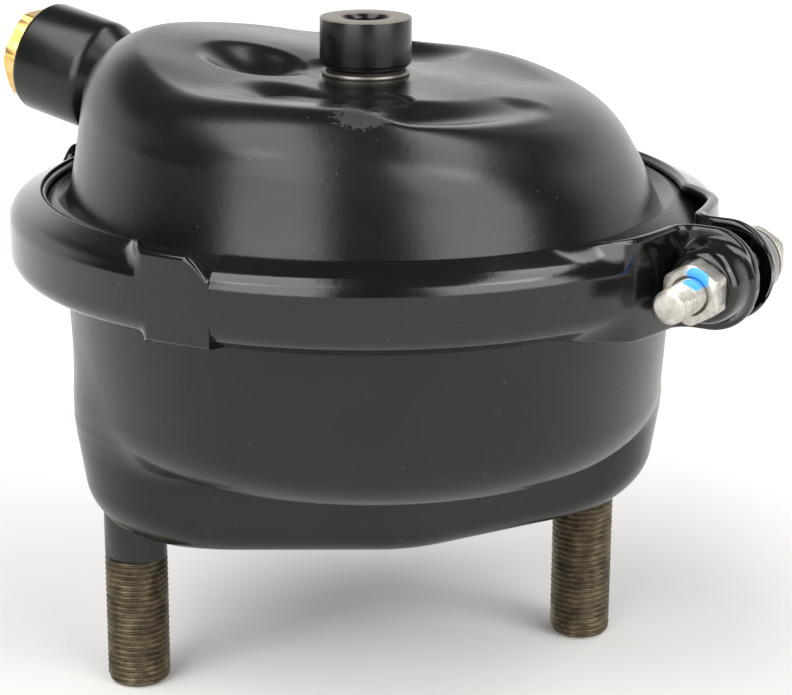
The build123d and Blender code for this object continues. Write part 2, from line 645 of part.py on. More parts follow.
with BuildPart() as diaphragm:
    with BuildSketch(Plane.XZ) as half:
        with BuildLine():
            Polyline(
                (0, DIAPHRAGM_TOP),
                (DIAPHRAGM_CROWN_RADIUS, DIAPHRAGM_TOP),
                (DIAPHRAGM_SKIRT_RADIUS, DIAPHRAGM_SKIRT_HEIGHT),
                (FLANGE_INNER_RADIUS, CLAMP_HEIGHT + DIAPHRAGM_SHEET / 2),
                (FLANGE_INNER_RADIUS, CLAMP_HEIGHT - DIAPHRAGM_SHEET / 2),
                (DIAPHRAGM_SKIRT_RADIUS - DIAPHRAGM_SHEET, CLAMP_HEIGHT - DIAPHRAGM_SHEET / 2),
                (DIAPHRAGM_CROWN_RADIUS - DIAPHRAGM_SHEET, DIAPHRAGM_TOP - DIAPHRAGM_SHEET),
                (0, DIAPHRAGM_TOP - DIAPHRAGM_SHEET),
                close=True,
            )
        make_face()
        crown = half.vertices().filter_by(
            lambda v: abs(v.X - DIAPHRAGM_CROWN_RADIUS) < 2 * DIAPHRAGM_SHEET
        )
        fillet(crown.sort_by(Axis.Z)[-1], DIAPHRAGM_ROUND)
        fillet(crown.sort_by(Axis.Z)[0], DIAPHRAGM_ROUND - DIAPHRAGM_SHEET)
    revolve(axis=Axis.Z)
    with BuildSketch(Plane.XZ):
        with BuildLine():
            bead = [
                (FLANGE_INNER_RADIUS, cone_rise(FLANGE_INNER_RADIUS, BEAD_FACE_INSET + JOINT_GAP)),
                (FLANGE_RADIUS, cone_rise(FLANGE_RADIUS, BEAD_FACE_INSET + JOINT_GAP)),
            ]
            lower = [(r, -rise) for r, rise in reversed(bead)]
            Polyline(*[(r, CLAMP_HEIGHT + rise) for r, rise in bead + lower], close=True)
        make_face()
    revolve(axis=Axis.Z)
diaphragm.part.label = "diaphragm"
export_step(diaphragm.part, "parts/diaphragm.step")

PLATE_TOP_HEIGHT = DIAPHRAGM_TOP - DIAPHRAGM_SHEET
PLATE_UNDERSIDE = PLATE_TOP_HEIGHT - PLATE_SHEET

with BuildPart() as push_plate:
    with BuildSketch(Plane.XY.offset(PLATE_TOP_HEIGHT)):
        Circle(PLATE_RADIUS)
    extrude(amount=-PLATE_SKIRT)
    fillet(push_plate.faces().sort_by(Axis.Z)[-1].edges(), PLATE_ROUND)
    with BuildSketch(Plane.XY.offset(PLATE_UNDERSIDE)):
        Circle(PLATE_RADIUS - PLATE_SHEET)
    extrude(amount=-PLATE_SKIRT, mode=Mode.SUBTRACT)
push_plate.part.label = "push_plate"
export_step(push_plate.part, "parts/push_plate.step")

with BuildPart() as pushrod:
    with BuildSketch(Plane.XY.offset(PLATE_UNDERSIDE)):
        Circle(ROD_HEAD_RADIUS)
    extrude(amount=-ROD_HEAD_HEIGHT)
    fillet(pushrod.faces().sort_by(Axis.Z)[0].edges(), ROD_HEAD_HEIGHT / 3)
    with BuildSketch(Plane.XY.offset(PLATE_UNDERSIDE)):
        Circle(ROD_RADIUS)
    extrude(amount=-PLATE_UNDERSIDE - ROD_PROTRUSION + ROD_RADIUS)
    with Locations((0, 0, ROD_RADIUS - ROD_PROTRUSION)):
        Sphere(ROD_RADIUS)
pushrod.part.label = "pushrod"
export_step(pushrod.part, "parts/pushrod.step")

# ---------------------------------------------------------------- boot, seat ring and face seal

BOOT_TOP = PLATE_UNDERSIDE - ROD_HEAD_HEIGHT - SMALL_GAP
BOOT_LIP_RADIUS = ROD_RADIUS + BOOT_GRIP_GAP

with BuildPart() as dust_boot:
    fold_start = PLATE_TOP + SEAT_RING_SHEET + SEAT_TUBE_HEIGHT
    fold_pitch = (BOOT_TOP - BOOT_LIP_HEIGHT - fold_start) / BOOT_FOLDS
    outer = [(BOOT_COLLAR_RADIUS, FOOT_INSIDE / 2), (BOOT_COLLAR_RADIUS, fold_start)]
    for fold in range(BOOT_FOLDS):
        valley = fold_start + fold * fold_pitch + fold_pitch / 2
        outer.append((BOOT_INNER_RADIUS + BOOT_SHEET, valley))
        outer.append((BOOT_INNER_RADIUS + BOOT_FOLD_DEPTH + BOOT_SHEET, valley + fold_pitch / 2))
    outer.append((BOOT_LIP_RADIUS + BOOT_SHEET, BOOT_TOP - BOOT_LIP_HEIGHT))
    outer.append((BOOT_LIP_RADIUS + BOOT_SHEET, BOOT_TOP))
    with BuildSketch(Plane.XZ):
        with BuildLine():
            Polyline(*outer, *[(r - BOOT_SHEET, z) for r, z in reversed(outer)], close=True)
        make_face()
    revolve(axis=Axis.Z)
dust_boot.part.label = "dust_boot"
export_step(dust_boot.part, "parts/dust_boot.step")

with BuildPart() as seat_ring:
    inner = BOOT_COLLAR_RADIUS + SMALL_GAP
    with BuildSketch(Plane.XZ):
        with BuildLine():
            Polyline(
                (inner, PLATE_TOP),
                (SEAT_RING_RADIUS, PLATE_TOP),
                (SEAT_RING_RADIUS, PLATE_TOP + SEAT_RING_SHEET),
                (inner + SEAT_RING_SHEET, PLATE_TOP + SEAT_RING_SHEET),
                (inner + SEAT_RING_SHEET, PLATE_TOP + SEAT_TUBE_HEIGHT),
                (inner, PLATE_TOP + SEAT_TUBE_HEIGHT),
                close=True,
            )
        make_face()
    revolve(axis=Axis.Z)
seat_ring.part.label = "seat_ring"
export_step(seat_ring.part, "parts/seat_ring.step")

with BuildPart() as face_seal:
    with BuildSketch(Plane.XY):
        Circle(FOOT_OPENING_RADIUS - SMALL_GAP)
        Circle(FOOT_OPENING_RADIUS - SMALL_GAP - FACE_SEAL_WIDTH, mode=Mode.SUBTRACT)
    extrude(amount=FOOT_INSIDE)
face_seal.part.label = "face_seal"
export_step(face_seal.part, "parts/face_seal.step")

# ---------------------------------------------------------------- return spring

with BuildPart() as return_spring:
    spring_low = PLATE_TOP + SEAT_RING_SHEET + SPRING_WIRE / 2
    spring_high = PLATE_UNDERSIDE - SPRING_WIRE / 2
    spring_rise = spring_high - spring_low
    with BuildLine():
        coil = Helix(
            pitch=spring_rise / SPRING_TURNS,
            height=spring_rise,
            radius=SPRING_BOTTOM_RADIUS,
            center=(0, 0, spring_low),
            cone_angle=degrees(atan2(SPRING_TOP_RADIUS - SPRING_BOTTOM_RADIUS, spring_rise)),
        )
    with BuildSketch(Plane(origin=coil @ 0, z_dir=coil % 0)):
        RegularPolygon(SPRING_WIRE / 2, SPRING_WIRE_SIDES)
    sweep(path=coil, is_frenet=True)
return_spring.part.label = "return_spring"
export_step(return_spring.part, "parts/return_spring.step")

# ---------------------------------------------------------------- vent plugs

VENT_HEAD_DROP = CAN_TOP - VENT_HEIGHT - VENT_HEAD_RADIUS
CAN_TAPER = (CAN_RIM_RADIUS - CAN_FLOOR_RADIUS) / (CAN_TOP - CAN_FLOOR_HEIGHT)
VENT_SEAT = CAN_RIM_RADIUS - CAN_TAPER * VENT_HEAD_DROP + SMALL_GAP

with BuildPart() as vent_plugs:
    for azimuth in VENT_AZIMUTHS:
        a = radians(azimuth)
        outward = Plane(origin=polar(VENT_SEAT, azimuth, VENT_HEIGHT), z_dir=(cos(a), sin(a), 0))
        with BuildSketch(outward):
            Circle(VENT_HEAD_RADIUS)
        extrude(amount=VENT_HEAD_HEIGHT, taper=20)
        with BuildSketch(outward):
            Circle(VENT_HOLE_RADIUS - SMALL_GAP)
        extrude(amount=-SHEET - 2 * VENT_HEAD_HEIGHT)
vent_plugs.part.label = "vent_plugs"
export_step(vent_plugs.part, "parts/vent_plugs.step")
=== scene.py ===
"""Looks of a diaphragm air brake chamber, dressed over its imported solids.

Shapes are worked out in millimetres as whole numpy arrays and turned to metres when they
become meshes. X runs along the line of the two studs, Z up through the pressure housing,
and azimuths are counted from X towards Y.
"""
import json

import bpy
import numpy as np
from mathutils import Matrix


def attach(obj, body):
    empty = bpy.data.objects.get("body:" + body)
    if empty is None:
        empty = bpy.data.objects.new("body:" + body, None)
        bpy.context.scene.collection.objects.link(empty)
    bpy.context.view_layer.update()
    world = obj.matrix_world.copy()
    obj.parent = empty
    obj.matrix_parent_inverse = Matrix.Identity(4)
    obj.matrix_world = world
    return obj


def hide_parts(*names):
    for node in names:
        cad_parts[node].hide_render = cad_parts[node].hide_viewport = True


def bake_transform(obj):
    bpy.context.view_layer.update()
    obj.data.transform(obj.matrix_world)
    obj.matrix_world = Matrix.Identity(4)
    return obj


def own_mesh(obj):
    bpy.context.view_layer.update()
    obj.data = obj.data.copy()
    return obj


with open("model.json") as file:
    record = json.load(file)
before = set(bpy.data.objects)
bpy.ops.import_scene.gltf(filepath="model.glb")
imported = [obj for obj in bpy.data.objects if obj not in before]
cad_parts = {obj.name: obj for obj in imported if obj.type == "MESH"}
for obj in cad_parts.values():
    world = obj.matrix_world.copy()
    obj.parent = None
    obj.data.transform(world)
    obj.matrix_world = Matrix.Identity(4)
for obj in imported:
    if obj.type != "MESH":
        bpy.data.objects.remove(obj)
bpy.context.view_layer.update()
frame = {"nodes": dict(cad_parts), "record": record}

MM = 0.001
TURN = 2 * np.pi

# ---------------------------------------------------------------- sizes shared by the pieces

SHEET = 3.0                  # wall of both pressed housings
CLAMP_HEIGHT = 76.5          # joint plane of the housings
CLAMP_RADIUS = 88.2          # outside of the clamp ring's web
CLAMP_SHEET = 2.8
CLAMP_CORNER = 7.1           # half height where the lines of web and flange cross
CLAMP_SLOPE = 25.0
GAP_AZIMUTH = -44.8          # where the clamp ring is split and bolted
EAR_HALF_GAP = 3.3
EAR_HALF_HEIGHT = 11.4
EAR_MIDDLE = 75.8            # height of the ears and of the clamp bolt
EAR_REACH = 106.5
SEAT_PLACE = 14.6            # from the middle of the gap to the seats of bolt and nut
BOLT_PLACE = 96.4            # radius at which the clamp bolt crosses the gap
CUP_RADIUS = 10.6            # of the cup pressed out of each ear
BOLT_RADIUS = 4.0
BOLT_TIP = -33.4
ACROSS_FLATS = 13.0
PLATEAU = 114.0              # flat seat of the central port
BOSS_RADIUS = 11.35
BOSS_TOP = 128.2
BORE_RADIUS = 5.3
SIDE_AZIMUTH = 135           # the side port points this way, and up by its tilt
SIDE_TILT = 12.0
SIDE_FOOT_RADIUS = 66.0      # where its axis starts
SIDE_FOOT_HEIGHT = 102.7
STUD_PLACE = 60.325
STUD_RADIUS = 8.0
STUD_TIP = -41.2
FLOOR = STUD_TIP
VIEW_AZIMUTH = 14.7          # the front view is turned this far from the Y axis

# ---------------------------------------------------------------- numpy helpers


def unit(azimuth):
    """Unit vector along an azimuth in degrees."""
    a = np.radians(azimuth)
    return np.array([np.cos(a), np.sin(a), 0.0])


def bump(x, low, high):
    """Smooth step: 0 below low, 1 above high, and t*t*(3 - 2*t) between them."""
    t = np.clip((x - low) / (high - low), 0, 1)
    return t * t * (3 - 2 * t)


def soft_min(a, b, k):
    """Lesser of a and b, rounded over k: min(a, b) - k/4 * max(1 - |a - b|/k, 0)**2."""
    h = np.maximum(1 - np.abs(a - b) / k, 0)
    return np.minimum(a, b) - k / 4 * h * h


def soft_max(a, b, k):
    """Greater of a and b, rounded over k."""
    return -soft_min(-a, -b, k)


def rounded_corner(a, b, radius):
    """Inside of both a < 0 and b < 0, their edge rounded to the radius."""
    u = np.maximum(a + radius, 0)
    v = np.maximum(b + radius, 0)
    return np.minimum(np.maximum(a, b), -radius) + np.hypot(u, v)


def turned(azimuth, reference):
    """Difference of two azimuths in degrees, from -180 to 180."""
    return (azimuth - reference + 180) % 360 - 180


def place(points, origin, along, across):
    """Points given as (across, third, along) carried to a frame at origin: the last
    coordinate runs along, the first across, and the second along their cross product."""
    along = np.asarray(along, float)
    across = np.asarray(across, float)
    third = np.cross(along, across)
    x, y, z = points[..., 0:1], points[..., 1:2], points[..., 2:3]
    return np.asarray(origin, float) + x * across + y * third + z * along


def lathe(profile, segments):
    """Closed profile [(radius, height), ...] turned about the height axis: a grid of
    (r*cos t, r*sin t, h) with one row for each point of the profile."""
    profile = np.asarray(profile, float)
    t = np.linspace(0, TURN, segments, endpoint=False)
    r, h = profile[:, 0:1], profile[:, 1:2]
    return np.stack([r * np.cos(t), r * np.sin(t), h + 0 * t], axis=-1)


def softened(points, radius, steps=3):
    """Closed outline with each corner cut back by radius and rounded by a quadratic curve
    (1-s)^2*A + 2*s*(1-s)*corner + s^2*B between the two cut points."""
    p = np.asarray(points, float)
    before = np.roll(p, 1, axis=0)
    after = np.roll(p, -1, axis=0)
    reach_a = np.linalg.norm(before - p, axis=1, keepdims=True)
    reach_b = np.linalg.norm(after - p, axis=1, keepdims=True)
    a = p + (before - p) / reach_a * np.minimum(radius, 0.45 * reach_a)
    b = p + (after - p) / reach_b * np.minimum(radius, 0.45 * reach_b)
    s = np.linspace(0, 1, steps + 1)[None, :, None]
    arcs = (1 - s) ** 2 * a[:, None] + 2 * s * (1 - s) * p[:, None] + s * s * b[:, None]
    return arcs.reshape(-1, p.shape[1])


def faced_out(faces, vertices):
    """Faces turned so that the shell's volume, the sum of p0.(p1 x p2)/6, is positive."""
    p = vertices[faces]
    v = np.einsum("ij,ij->i", p[:, 0], np.cross(p[:, 1], p[:, 2])).sum()
    v += np.einsum("ij,ij->i", p[:, 0], np.cross(p[:, 2], p[:, 3])).sum()
    return faces if v > 0 else faces[:, ::-1]


def piece(name, grids, material, node, sharp=35.0, caps=False):
    """Mesh of one or more closed grids, shown in place of a CAD node. A grid is (rows,
    columns, 3) in millimetres: its columns join round, and its rows join end to end unless
    caps closes both ends. Faces that meet at more than sharp degrees meet in an edge."""
    verts, quads, ends = [], [], []
    base = 0
    for g in grids:
        rows, cols = g.shape[:2]
        flat = g.reshape(-1, 3)
        i = np.arange(rows - 1 if caps else rows)[:, None]
        j = np.arange(cols)[None, :]
        i2, j2 = (i + 1) % rows, (j + 1) % cols
        f = np.stack([i * cols + j, i * cols + j2, i2 * cols + j2, i2 * cols + j], axis=-1)
        f = f.reshape(-1, 4)
        turned_out = faced_out(f, flat)
        if caps:
            first = list(range(cols))
            last = list(range((rows - 1) * cols, rows * cols))
            flipped = turned_out is not f
            ends.append([base + k for k in (first if flipped else first[::-1])])
            ends.append([base + k for k in (last[::-1] if flipped else last)])
        verts.append(flat)
        quads.append(turned_out + base)
        base += len(flat)
    mesh = bpy.data.meshes.new(name)
    points = np.concatenate(verts) * MM
    mesh.from_pydata(points.tolist(), [], np.concatenate(quads).tolist() + ends)
    mesh.polygons.foreach_set("use_smooth", np.ones(len(mesh.polygons), bool))
    mesh.update()
    mesh.set_sharp_from_angle(angle=np.radians(sharp))
    mesh.materials.append(material)
    obj = bpy.data.objects.new(name, mesh)
    bpy.context.scene.collection.objects.link(obj)
    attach(obj, "chamber")
    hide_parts(node)


# ---------------------------------------------------------------- materials


def linear(code):
    """sRGB hex colour as linear RGBA."""
    c = np.array([int(code[i:i + 2], 16) for i in (1, 3, 5)]) / 255
    c = np.where(c <= 0.04045, c / 12.92, ((c + 0.055) / 1.055) ** 2.4)
    return (*c.tolist(), 1.0)


def add(tree, kind, settings=None, **sockets):
    """New node with its settings. A socket, named or numbered as in _0, takes a value or
    another node's output."""
    node = tree.nodes.new(kind)
    for key, value in (settings or {}).items():
        setattr(node, key, value)
    for key, value in sockets.items():
        socket = node.inputs[int(key[1:]) if key[1:].isdigit() else key]
        if isinstance(value, bpy.types.NodeSocket):
            tree.links.new(value, socket)
        else:
            socket.default_value = value
    return node


def start(name):
    """Empty node tree with a Principled shader, its output and Object coordinates."""
    material = bpy.data.materials.new(name)
    material.use_nodes = True
    tree = material.node_tree
    tree.nodes.clear()
    shader = add(tree, "ShaderNodeBsdfPrincipled")
    add(tree, "ShaderNodeOutputMaterial", Surface=shader.outputs[0])
    where = add(tree, "ShaderNodeTexCoord").outputs["Object"]
    return material, tree, shader, where


PAINT_IOR = 1.44
PAINT_BLACK, PAINT_DUST, SPECK_GREY = "#0c0c0c", "#121211", "#6a6864"


def black_paint(name, roughness, colour=PAINT_BLACK, dusty=PAINT_DUST, coat=0.0):
    """Film of black paint on pressed steel: an orange peel of 1.5 mm, thin dust in clouds
    of 20 mm and pale specks under half a millimetre."""
    material, tree, shader, where = start(name)
    shader.inputs["IOR"].default_value = PAINT_IOR
    shader.inputs["Coat Weight"].default_value = coat
    shader.inputs["Coat Roughness"].default_value = 0.1
    clouds = add(tree, "ShaderNodeTexNoise", Vector=where, Scale=48.0, Detail=5.0, Roughness=0.6)
    dust = add(tree, "ShaderNodeMapRange", _0=clouds.outputs[0], _1=0.42, _2=0.75, _3=0.0, _4=1.0)
    film = add(
        tree, "ShaderNodeMix", {"data_type": "RGBA"},
        _0=dust.outputs[0], _6=linear(colour), _7=linear(dusty))
    cells = add(tree, "ShaderNodeTexVoronoi", Vector=where, Scale=230.0)
    speck = add(
        tree, "ShaderNodeMapRange",
        _0=cells.outputs["Distance"], _1=0.055, _2=0.035, _3=0.0, _4=0.35)
    spotted = add(
        tree, "ShaderNodeMix", {"data_type": "RGBA"},
        _0=speck.outputs[0], _6=film.outputs[2], _7=linear(SPECK_GREY))
    tree.links.new(spotted.outputs[2], shader.inputs["Base Color"])
    dull = add(
        tree, "ShaderNodeMapRange",
        _0=dust.outputs[0], _1=0.0, _2=1.0, _3=roughness - 0.02, _4=roughness + 0.05)
    tree.links.new(dull.outputs[0], shader.inputs["Roughness"])
    peel = add(tree, "ShaderNodeTexNoise", Vector=where, Scale=650.0, Detail=1.0)
    lift = add(tree, "ShaderNodeBump", Strength=0.05, Distance=0.0004, Height=peel.outputs[0])
    tree.links.new(lift.outputs[0], shader.inputs["Normal"])
    return material


# Satin black electrocoat on the two pressed housings: broad soft highlights
HOUSING_PAINT = black_paint("satin_black_electrocoat", 0.25)
# Glossier black top coat on the rolled clamp ring: narrow bright streaks
CLAMP_PAINT = black_paint("gloss_black_paint", 0.15, "#0b0b0b", "#100f0f", coat=0.25)
# Baked black coating of the spring wire, dull
SPRING_COAT = black_paint("spring_coating", 0.42, "#15161a", "#1c1d20")


# Tones, roughness, clouds per metre and metallic share of the metal finishes
PHOSPHATE_LOOK = ("#766b55", "#433b2d", 0.46, 260.0, 0.75)
ZINC_LOOK = ("#d0cdc6", "#a29f98", 0.36, 320.0, 0.9)
BRASS_LOOK = ("#f7dc96", "#d9ae55", 0.30, 150.0, 1.0)
STEEL_LOOK = ("#8f9194", "#6d6f72", 0.38, 180.0, 1.0)


def bare_or_plated(name, colour, dark, roughness, per_metre, metallic):
    """Metal surface: its tone varies in clouds of 1/per_metre, over a grain of 0.5 mm."""
    material, tree, shader, where = start(name)
    shader.inputs["Metallic"].default_value = metallic
    clouds = add(
        tree, "ShaderNodeTexNoise", Vector=where, Scale=per_metre, Detail=6.0, Roughness=0.65)
    tone = add(tree, "ShaderNodeMapRange", _0=clouds.outputs[0], _1=0.35, _2=0.68, _3=0.0, _4=1.0)
    film = add(
        tree, "ShaderNodeMix", {"data_type": "RGBA"},
        _0=tone.outputs[0], _6=linear(dark), _7=linear(colour))
    tree.links.new(film.outputs[2], shader.inputs["Base Color"])
    dull = add(
        tree, "ShaderNodeMapRange",
        _0=tone.outputs[0], _1=0.0, _2=1.0, _3=roughness + 0.08, _4=roughness - 0.04)
    tree.links.new(dull.outputs[0], shader.inputs["Roughness"])
    grain = add(tree, "ShaderNodeTexNoise", Vector=where, Scale=2200.0, Detail=2.0)
    lift = add(tree, "ShaderNodeBump", Strength=0.12, Distance=0.0002, Height=grain.outputs[0])
    tree.links.new(lift.outputs[0], shader.inputs["Normal"])
    return material


def overlaid(material, mask, colour, metallic, roughness):
    """Lays a second finish over a material where the mask is 1. Each of the shader's three
    sockets goes from what it has to the second finish's value."""
    tree = material.node_tree
    sockets = tree.nodes["Principled BSDF"].inputs
    for key, kind, first, result, value in (
            ("Base Color", "RGBA", 6, 2, linear(colour)), ("Roughness", "FLOAT", 2, 0, roughness),
            ("Metallic", "FLOAT", 2, 0, metallic)):
        socket = sockets[key]
        had = socket.links[0].from_socket if socket.is_linked else socket.default_value
        values = {f"_{first}": had, f"_{first + 1}": value}
        over = add(tree, "ShaderNodeMix", {"data_type": kind}, _0=mask, **values)
        tree.links.new(over.outputs[result], socket)


def height_mask(material, low, high):
    """1 above high and 0 below low, in millimetres of the object's height; the other way
    round where low is greater."""
    tree = material.node_tree
    where = add(tree, "ShaderNodeTexCoord").outputs["Object"]
    parts = add(tree, "ShaderNodeSeparateXYZ", Vector=where)
    step = add(
        tree, "ShaderNodeMapRange",
        _0=parts.outputs["Z"], _1=low * MM, _2=high * MM, _3=0.0, _4=1.0)
    return step.outputs[0]


def spot_mask(material, centre, axes, sizes, ragged):
    """1 within an ellipsoid given by its centre, its axes and their half lengths in
    millimetres, its edge made ragged by noise of 1 mm."""
    tree = material.node_tree
    where = add(tree, "ShaderNodeTexCoord").outputs["Object"]
    offset = add(
        tree, "ShaderNodeVectorMath", {"operation": "SUBTRACT"},
        _0=where, _1=tuple(np.asarray(centre) * MM))
    squares = 0.0
    for axis, size in zip(axes, sizes):
        along = add(
            tree, "ShaderNodeVectorMath", {"operation": "DOT_PRODUCT"},
            _0=offset.outputs[0], _1=tuple(np.asarray(axis) / (size * MM))).outputs["Value"]
        squares = add(
            tree, "ShaderNodeMath", {"operation": "MULTIPLY_ADD"},
            _0=along, _1=along, _2=squares).outputs[0]
    noise = add(tree, "ShaderNodeTexNoise", Vector=where, Scale=900.0, Detail=3.0)
    shaken = add(
        tree, "ShaderNodeMath", {"operation": "MULTIPLY_ADD"},
        _0=noise.outputs[0], _1=ragged, _2=squares)
    step = add(
        tree, "ShaderNodeMapRange",
        _0=shaken.outputs[0], _1=1.0 + 0.62 * ragged, _2=1.0 + 0.5 * ragged, _3=0.0, _4=1.0)
    return step.outputs[0]


# Olive brown manganese phosphate, lightly oiled, on the rolled stud threads
PHOSPHATE = bare_or_plated("phosphated_steel", *PHOSPHATE_LOOK)
# Pale dull zinc plating on the clamp bolt and nut
ZINC = bare_or_plated("zinc_plated_steel", *ZINC_LOOK)
# Machined brass with a bright cut surface
BRASS = bare_or_plated("machined_brass", *BRASS_LOOK)
# Plain drawn or pressed steel inside the chamber
PLAIN_STEEL = bare_or_plated("plain_steel", *STEEL_LOOK)


def moulded_rubber():
    """Moulded black rubber, IOR 1.5: dull, with bloom in clouds of 8 mm and fine grain."""
    material, tree, shader, where = start("moulded_rubber")
    clouds = add(tree, "ShaderNodeTexNoise", Vector=where, Scale=120.0, Detail=3.0)
    bloom = add(tree, "ShaderNodeMapRange", _0=clouds.outputs[0], _1=0.35, _2=0.7, _3=0.0, _4=1.0)
    film = add(
        tree, "ShaderNodeMix", {"data_type": "RGBA"},
        _0=bloom.outputs[0], _6=linear("#111111"), _7=linear("#1d1c1b"))
    tree.links.new(film.outputs[2], shader.inputs["Base Color"])
    shader.inputs["Roughness"].default_value = 0.68
    grain = add(tree, "ShaderNodeTexNoise", Vector=where, Scale=1800.0)
    lift = add(tree, "ShaderNodeBump", Strength=0.15, Distance=0.0003, Height=grain.outputs[0])
    tree.links.new(lift.outputs[0], shader.inputs["Normal"])
    return material


RUBBER = moulded_rubber()

# ---------------------------------------------------------------- pressed shells

RAY_STEPS = 34
DOME_RAYS_FROM = 80.0        # heights on the axis from which the rays go out
CAN_RAYS_FROM = 45.0
FOOT_OPENING = 24.0          # radius of the hole in the can's foot
FOOT_MIDDLE = 2.5            # the foot lies this far to the right of the axis


def along_rays(inside, origin_height, angles, azimuths, reach=140.0):
    """Radius and height at which rays from a point on the axis leave the body
    inside(x, y, z) < 0, found by halving the interval RAY_STEPS times."""
    up = np.radians(angles)[:, None]
    a = np.radians(azimuths)[None, :]
    dx, dy, dz = np.cos(up) * np.cos(a), np.cos(up) * np.sin(a), np.sin(up) + 0 * a
    low = np.zeros(dx.shape)
    high = np.full(dx.shape, reach)
    for _ in range(RAY_STEPS):
        mid = (low + high) / 2
        within = inside(mid * dx, mid * dy, origin_height + mid * dz) < 0
        low = np.where(within, mid, low)
        high = np.where(within, high, mid)
    t = (low + high) / 2
    return np.stack([t * dx, t * dy, origin_height + t * dz], axis=-1)


def flange_rows(side, azimuths, first_radius):
    """Rim of a housing under the clamp: a cone of 25 degrees, SHEET thick, to r 84.6."""
    slope = np.radians(CLAMP_SLOPE)

    def rise(radius, inset):
        return CLAMP_CORNER + (CLAMP_RADIUS - radius) * np.tan(slope) - inset / np.cos(slope)

    outer = CLAMP_SHEET + 0.1
    rim = [(first_radius, outer), (80.0, outer), (84.3, outer), (84.6, outer + 0.4)]
    rim += [(84.6, outer + SHEET - 0.3), (84.2, outer + SHEET), (78.0, outer + SHEET)]
    a = np.radians(azimuths)
    rows = [
        np.stack([r * np.cos(a), r * np.sin(a), CLAMP_HEIGHT + side * rise(r, i) + 0 * a], axis=-1)
        for r, i in rim
    ]
    return np.stack(rows)


def dome_wall(z, azimuth):
    """Radius of the dome's wall: 0.155 mm in per mm of height and 0.2 mm more on the right
    below 97 mm, leaning 2 mm to the left and flaring towards the rim."""
    lean = np.cos(np.radians(azimuth + VIEW_AZIMUTH))
    cone = 70.5 - 0.155 * (z - 90.0) + 0.2 * np.maximum(97.0 - z, 0) * np.maximum(lean, 0)
    flare = 3.4 * np.exp(-(z - 79.0) / 4.2)
    return cone + flare - 2.0 * lean


def arc_distance(x, y, radius, start_azimuth, end_azimuth):
    """Plan distance from an arc about Z between two azimuths."""
    az = np.degrees(np.arctan2(y, x))
    middle = (start_azimuth + end_azimuth) / 2
    half = abs(end_azimuth - start_azimuth) / 2
    near = np.clip(turned(az, middle), -half, half) + middle
    p = np.radians(near)
    return np.hypot(x - radius * np.cos(p), y - radius * np.sin(p))


SPLINE_EASE = 2.0
CROWN_REACH = 56.0           # beyond this radius the crown keeps its height
# Bowls pressed into the crown: x, y, radius, depth and how far the rim is rounded
CROWN_BOWLS = ((-26.5, 7.5, 12.6, 4.4, 0.3), (21.0, 31.0, 15.0, 3.0, 0.12))
POCKET_ARC = (34.5, -137.0, -98.0)       # radius and the azimuths of its ends
POCKET_FLOOR = 112.7
CRESCENT_ARC = (46.5, -92.0, -50.0)
CRESCENT_FLOOR = 109.9
# Heights of the dome's top before the presses: (azimuth, radius, height)
CROWN_POINTS = np.array([
    (165, 54, 122.3), (154, 54, 122.8), (143, 54, 122.7), (130, 54, 121.8), (120, 54, 120.7),
    (111, 54, 119.6), (103, 54, 118.4), (95, 54, 117.0), (75, 54, 115.2), (58, 54, 114.4),
    (42, 54, 114.3), (24, 54, 113.4), (10, 54, 112.2), (-6, 54, 111.3), (-25, 54, 110.4),
    (-45, 54, 109.6), (-70, 54, 110.8), (-90, 53, 113.6), (-101, 52, 115.2), (-112, 52, 115.6),
    (-118, 52, 115.8), (-133, 52, 116.0), (-155, 52, 116.3), (-166, 54, 118.2), (-179, 54, 120.6),
    (118, 24, 117.2), (140, 15, 115.2), (-165, 22, 115.2), (-162, 38, 116.2), (170, 40, 119.0),
    (148, 38, 120.2), (110, 36, 118.2), (0, 0, 114.0), (60, 14, 114.0), (150, 12, 114.4),
    (-120, 13, 114.0), (-30, 14, 114.0), (-75, 30, 113.4), (-30, 30, 112.6), (20, 30, 112.8),
    (-100, 30, 114.0), (-125, 30, 114.2), (60, 34, 113.8), (-5, 42, 111.2),
])


def spline_kernel(squared):
    """Thin plate kernel d^2 * log(d) from the squared distance."""
    return 0.5 * squared * np.log(squared + 1e-6)


def spline_weights(points):
    """Weights of the thin plate spline near the points, z = sum w*kernel + a + b*x + c*y,
    smoothed by SPLINE_EASE on the system's diagonal."""
    a = np.radians(points[:, 0])
    xy = points[:, 1:2] * np.stack([np.cos(a), np.sin(a)], axis=1)
    squared = ((xy[:, None] - xy[None]) ** 2).sum(axis=2)
    n = len(xy)
    system = np.zeros((n + 3, n + 3))
    system[:n, :n] = spline_kernel(squared) + SPLINE_EASE * np.eye(n)
    system[:n, n] = 1
    system[:n, n + 1:] = xy
    system[n:, :n] = system[:n, n:].T
    return xy, np.linalg.solve(system, np.concatenate([points[:, 2], np.zeros(3)]))


CROWN_XY, CROWN_WEIGHTS = spline_weights(CROWN_POINTS)


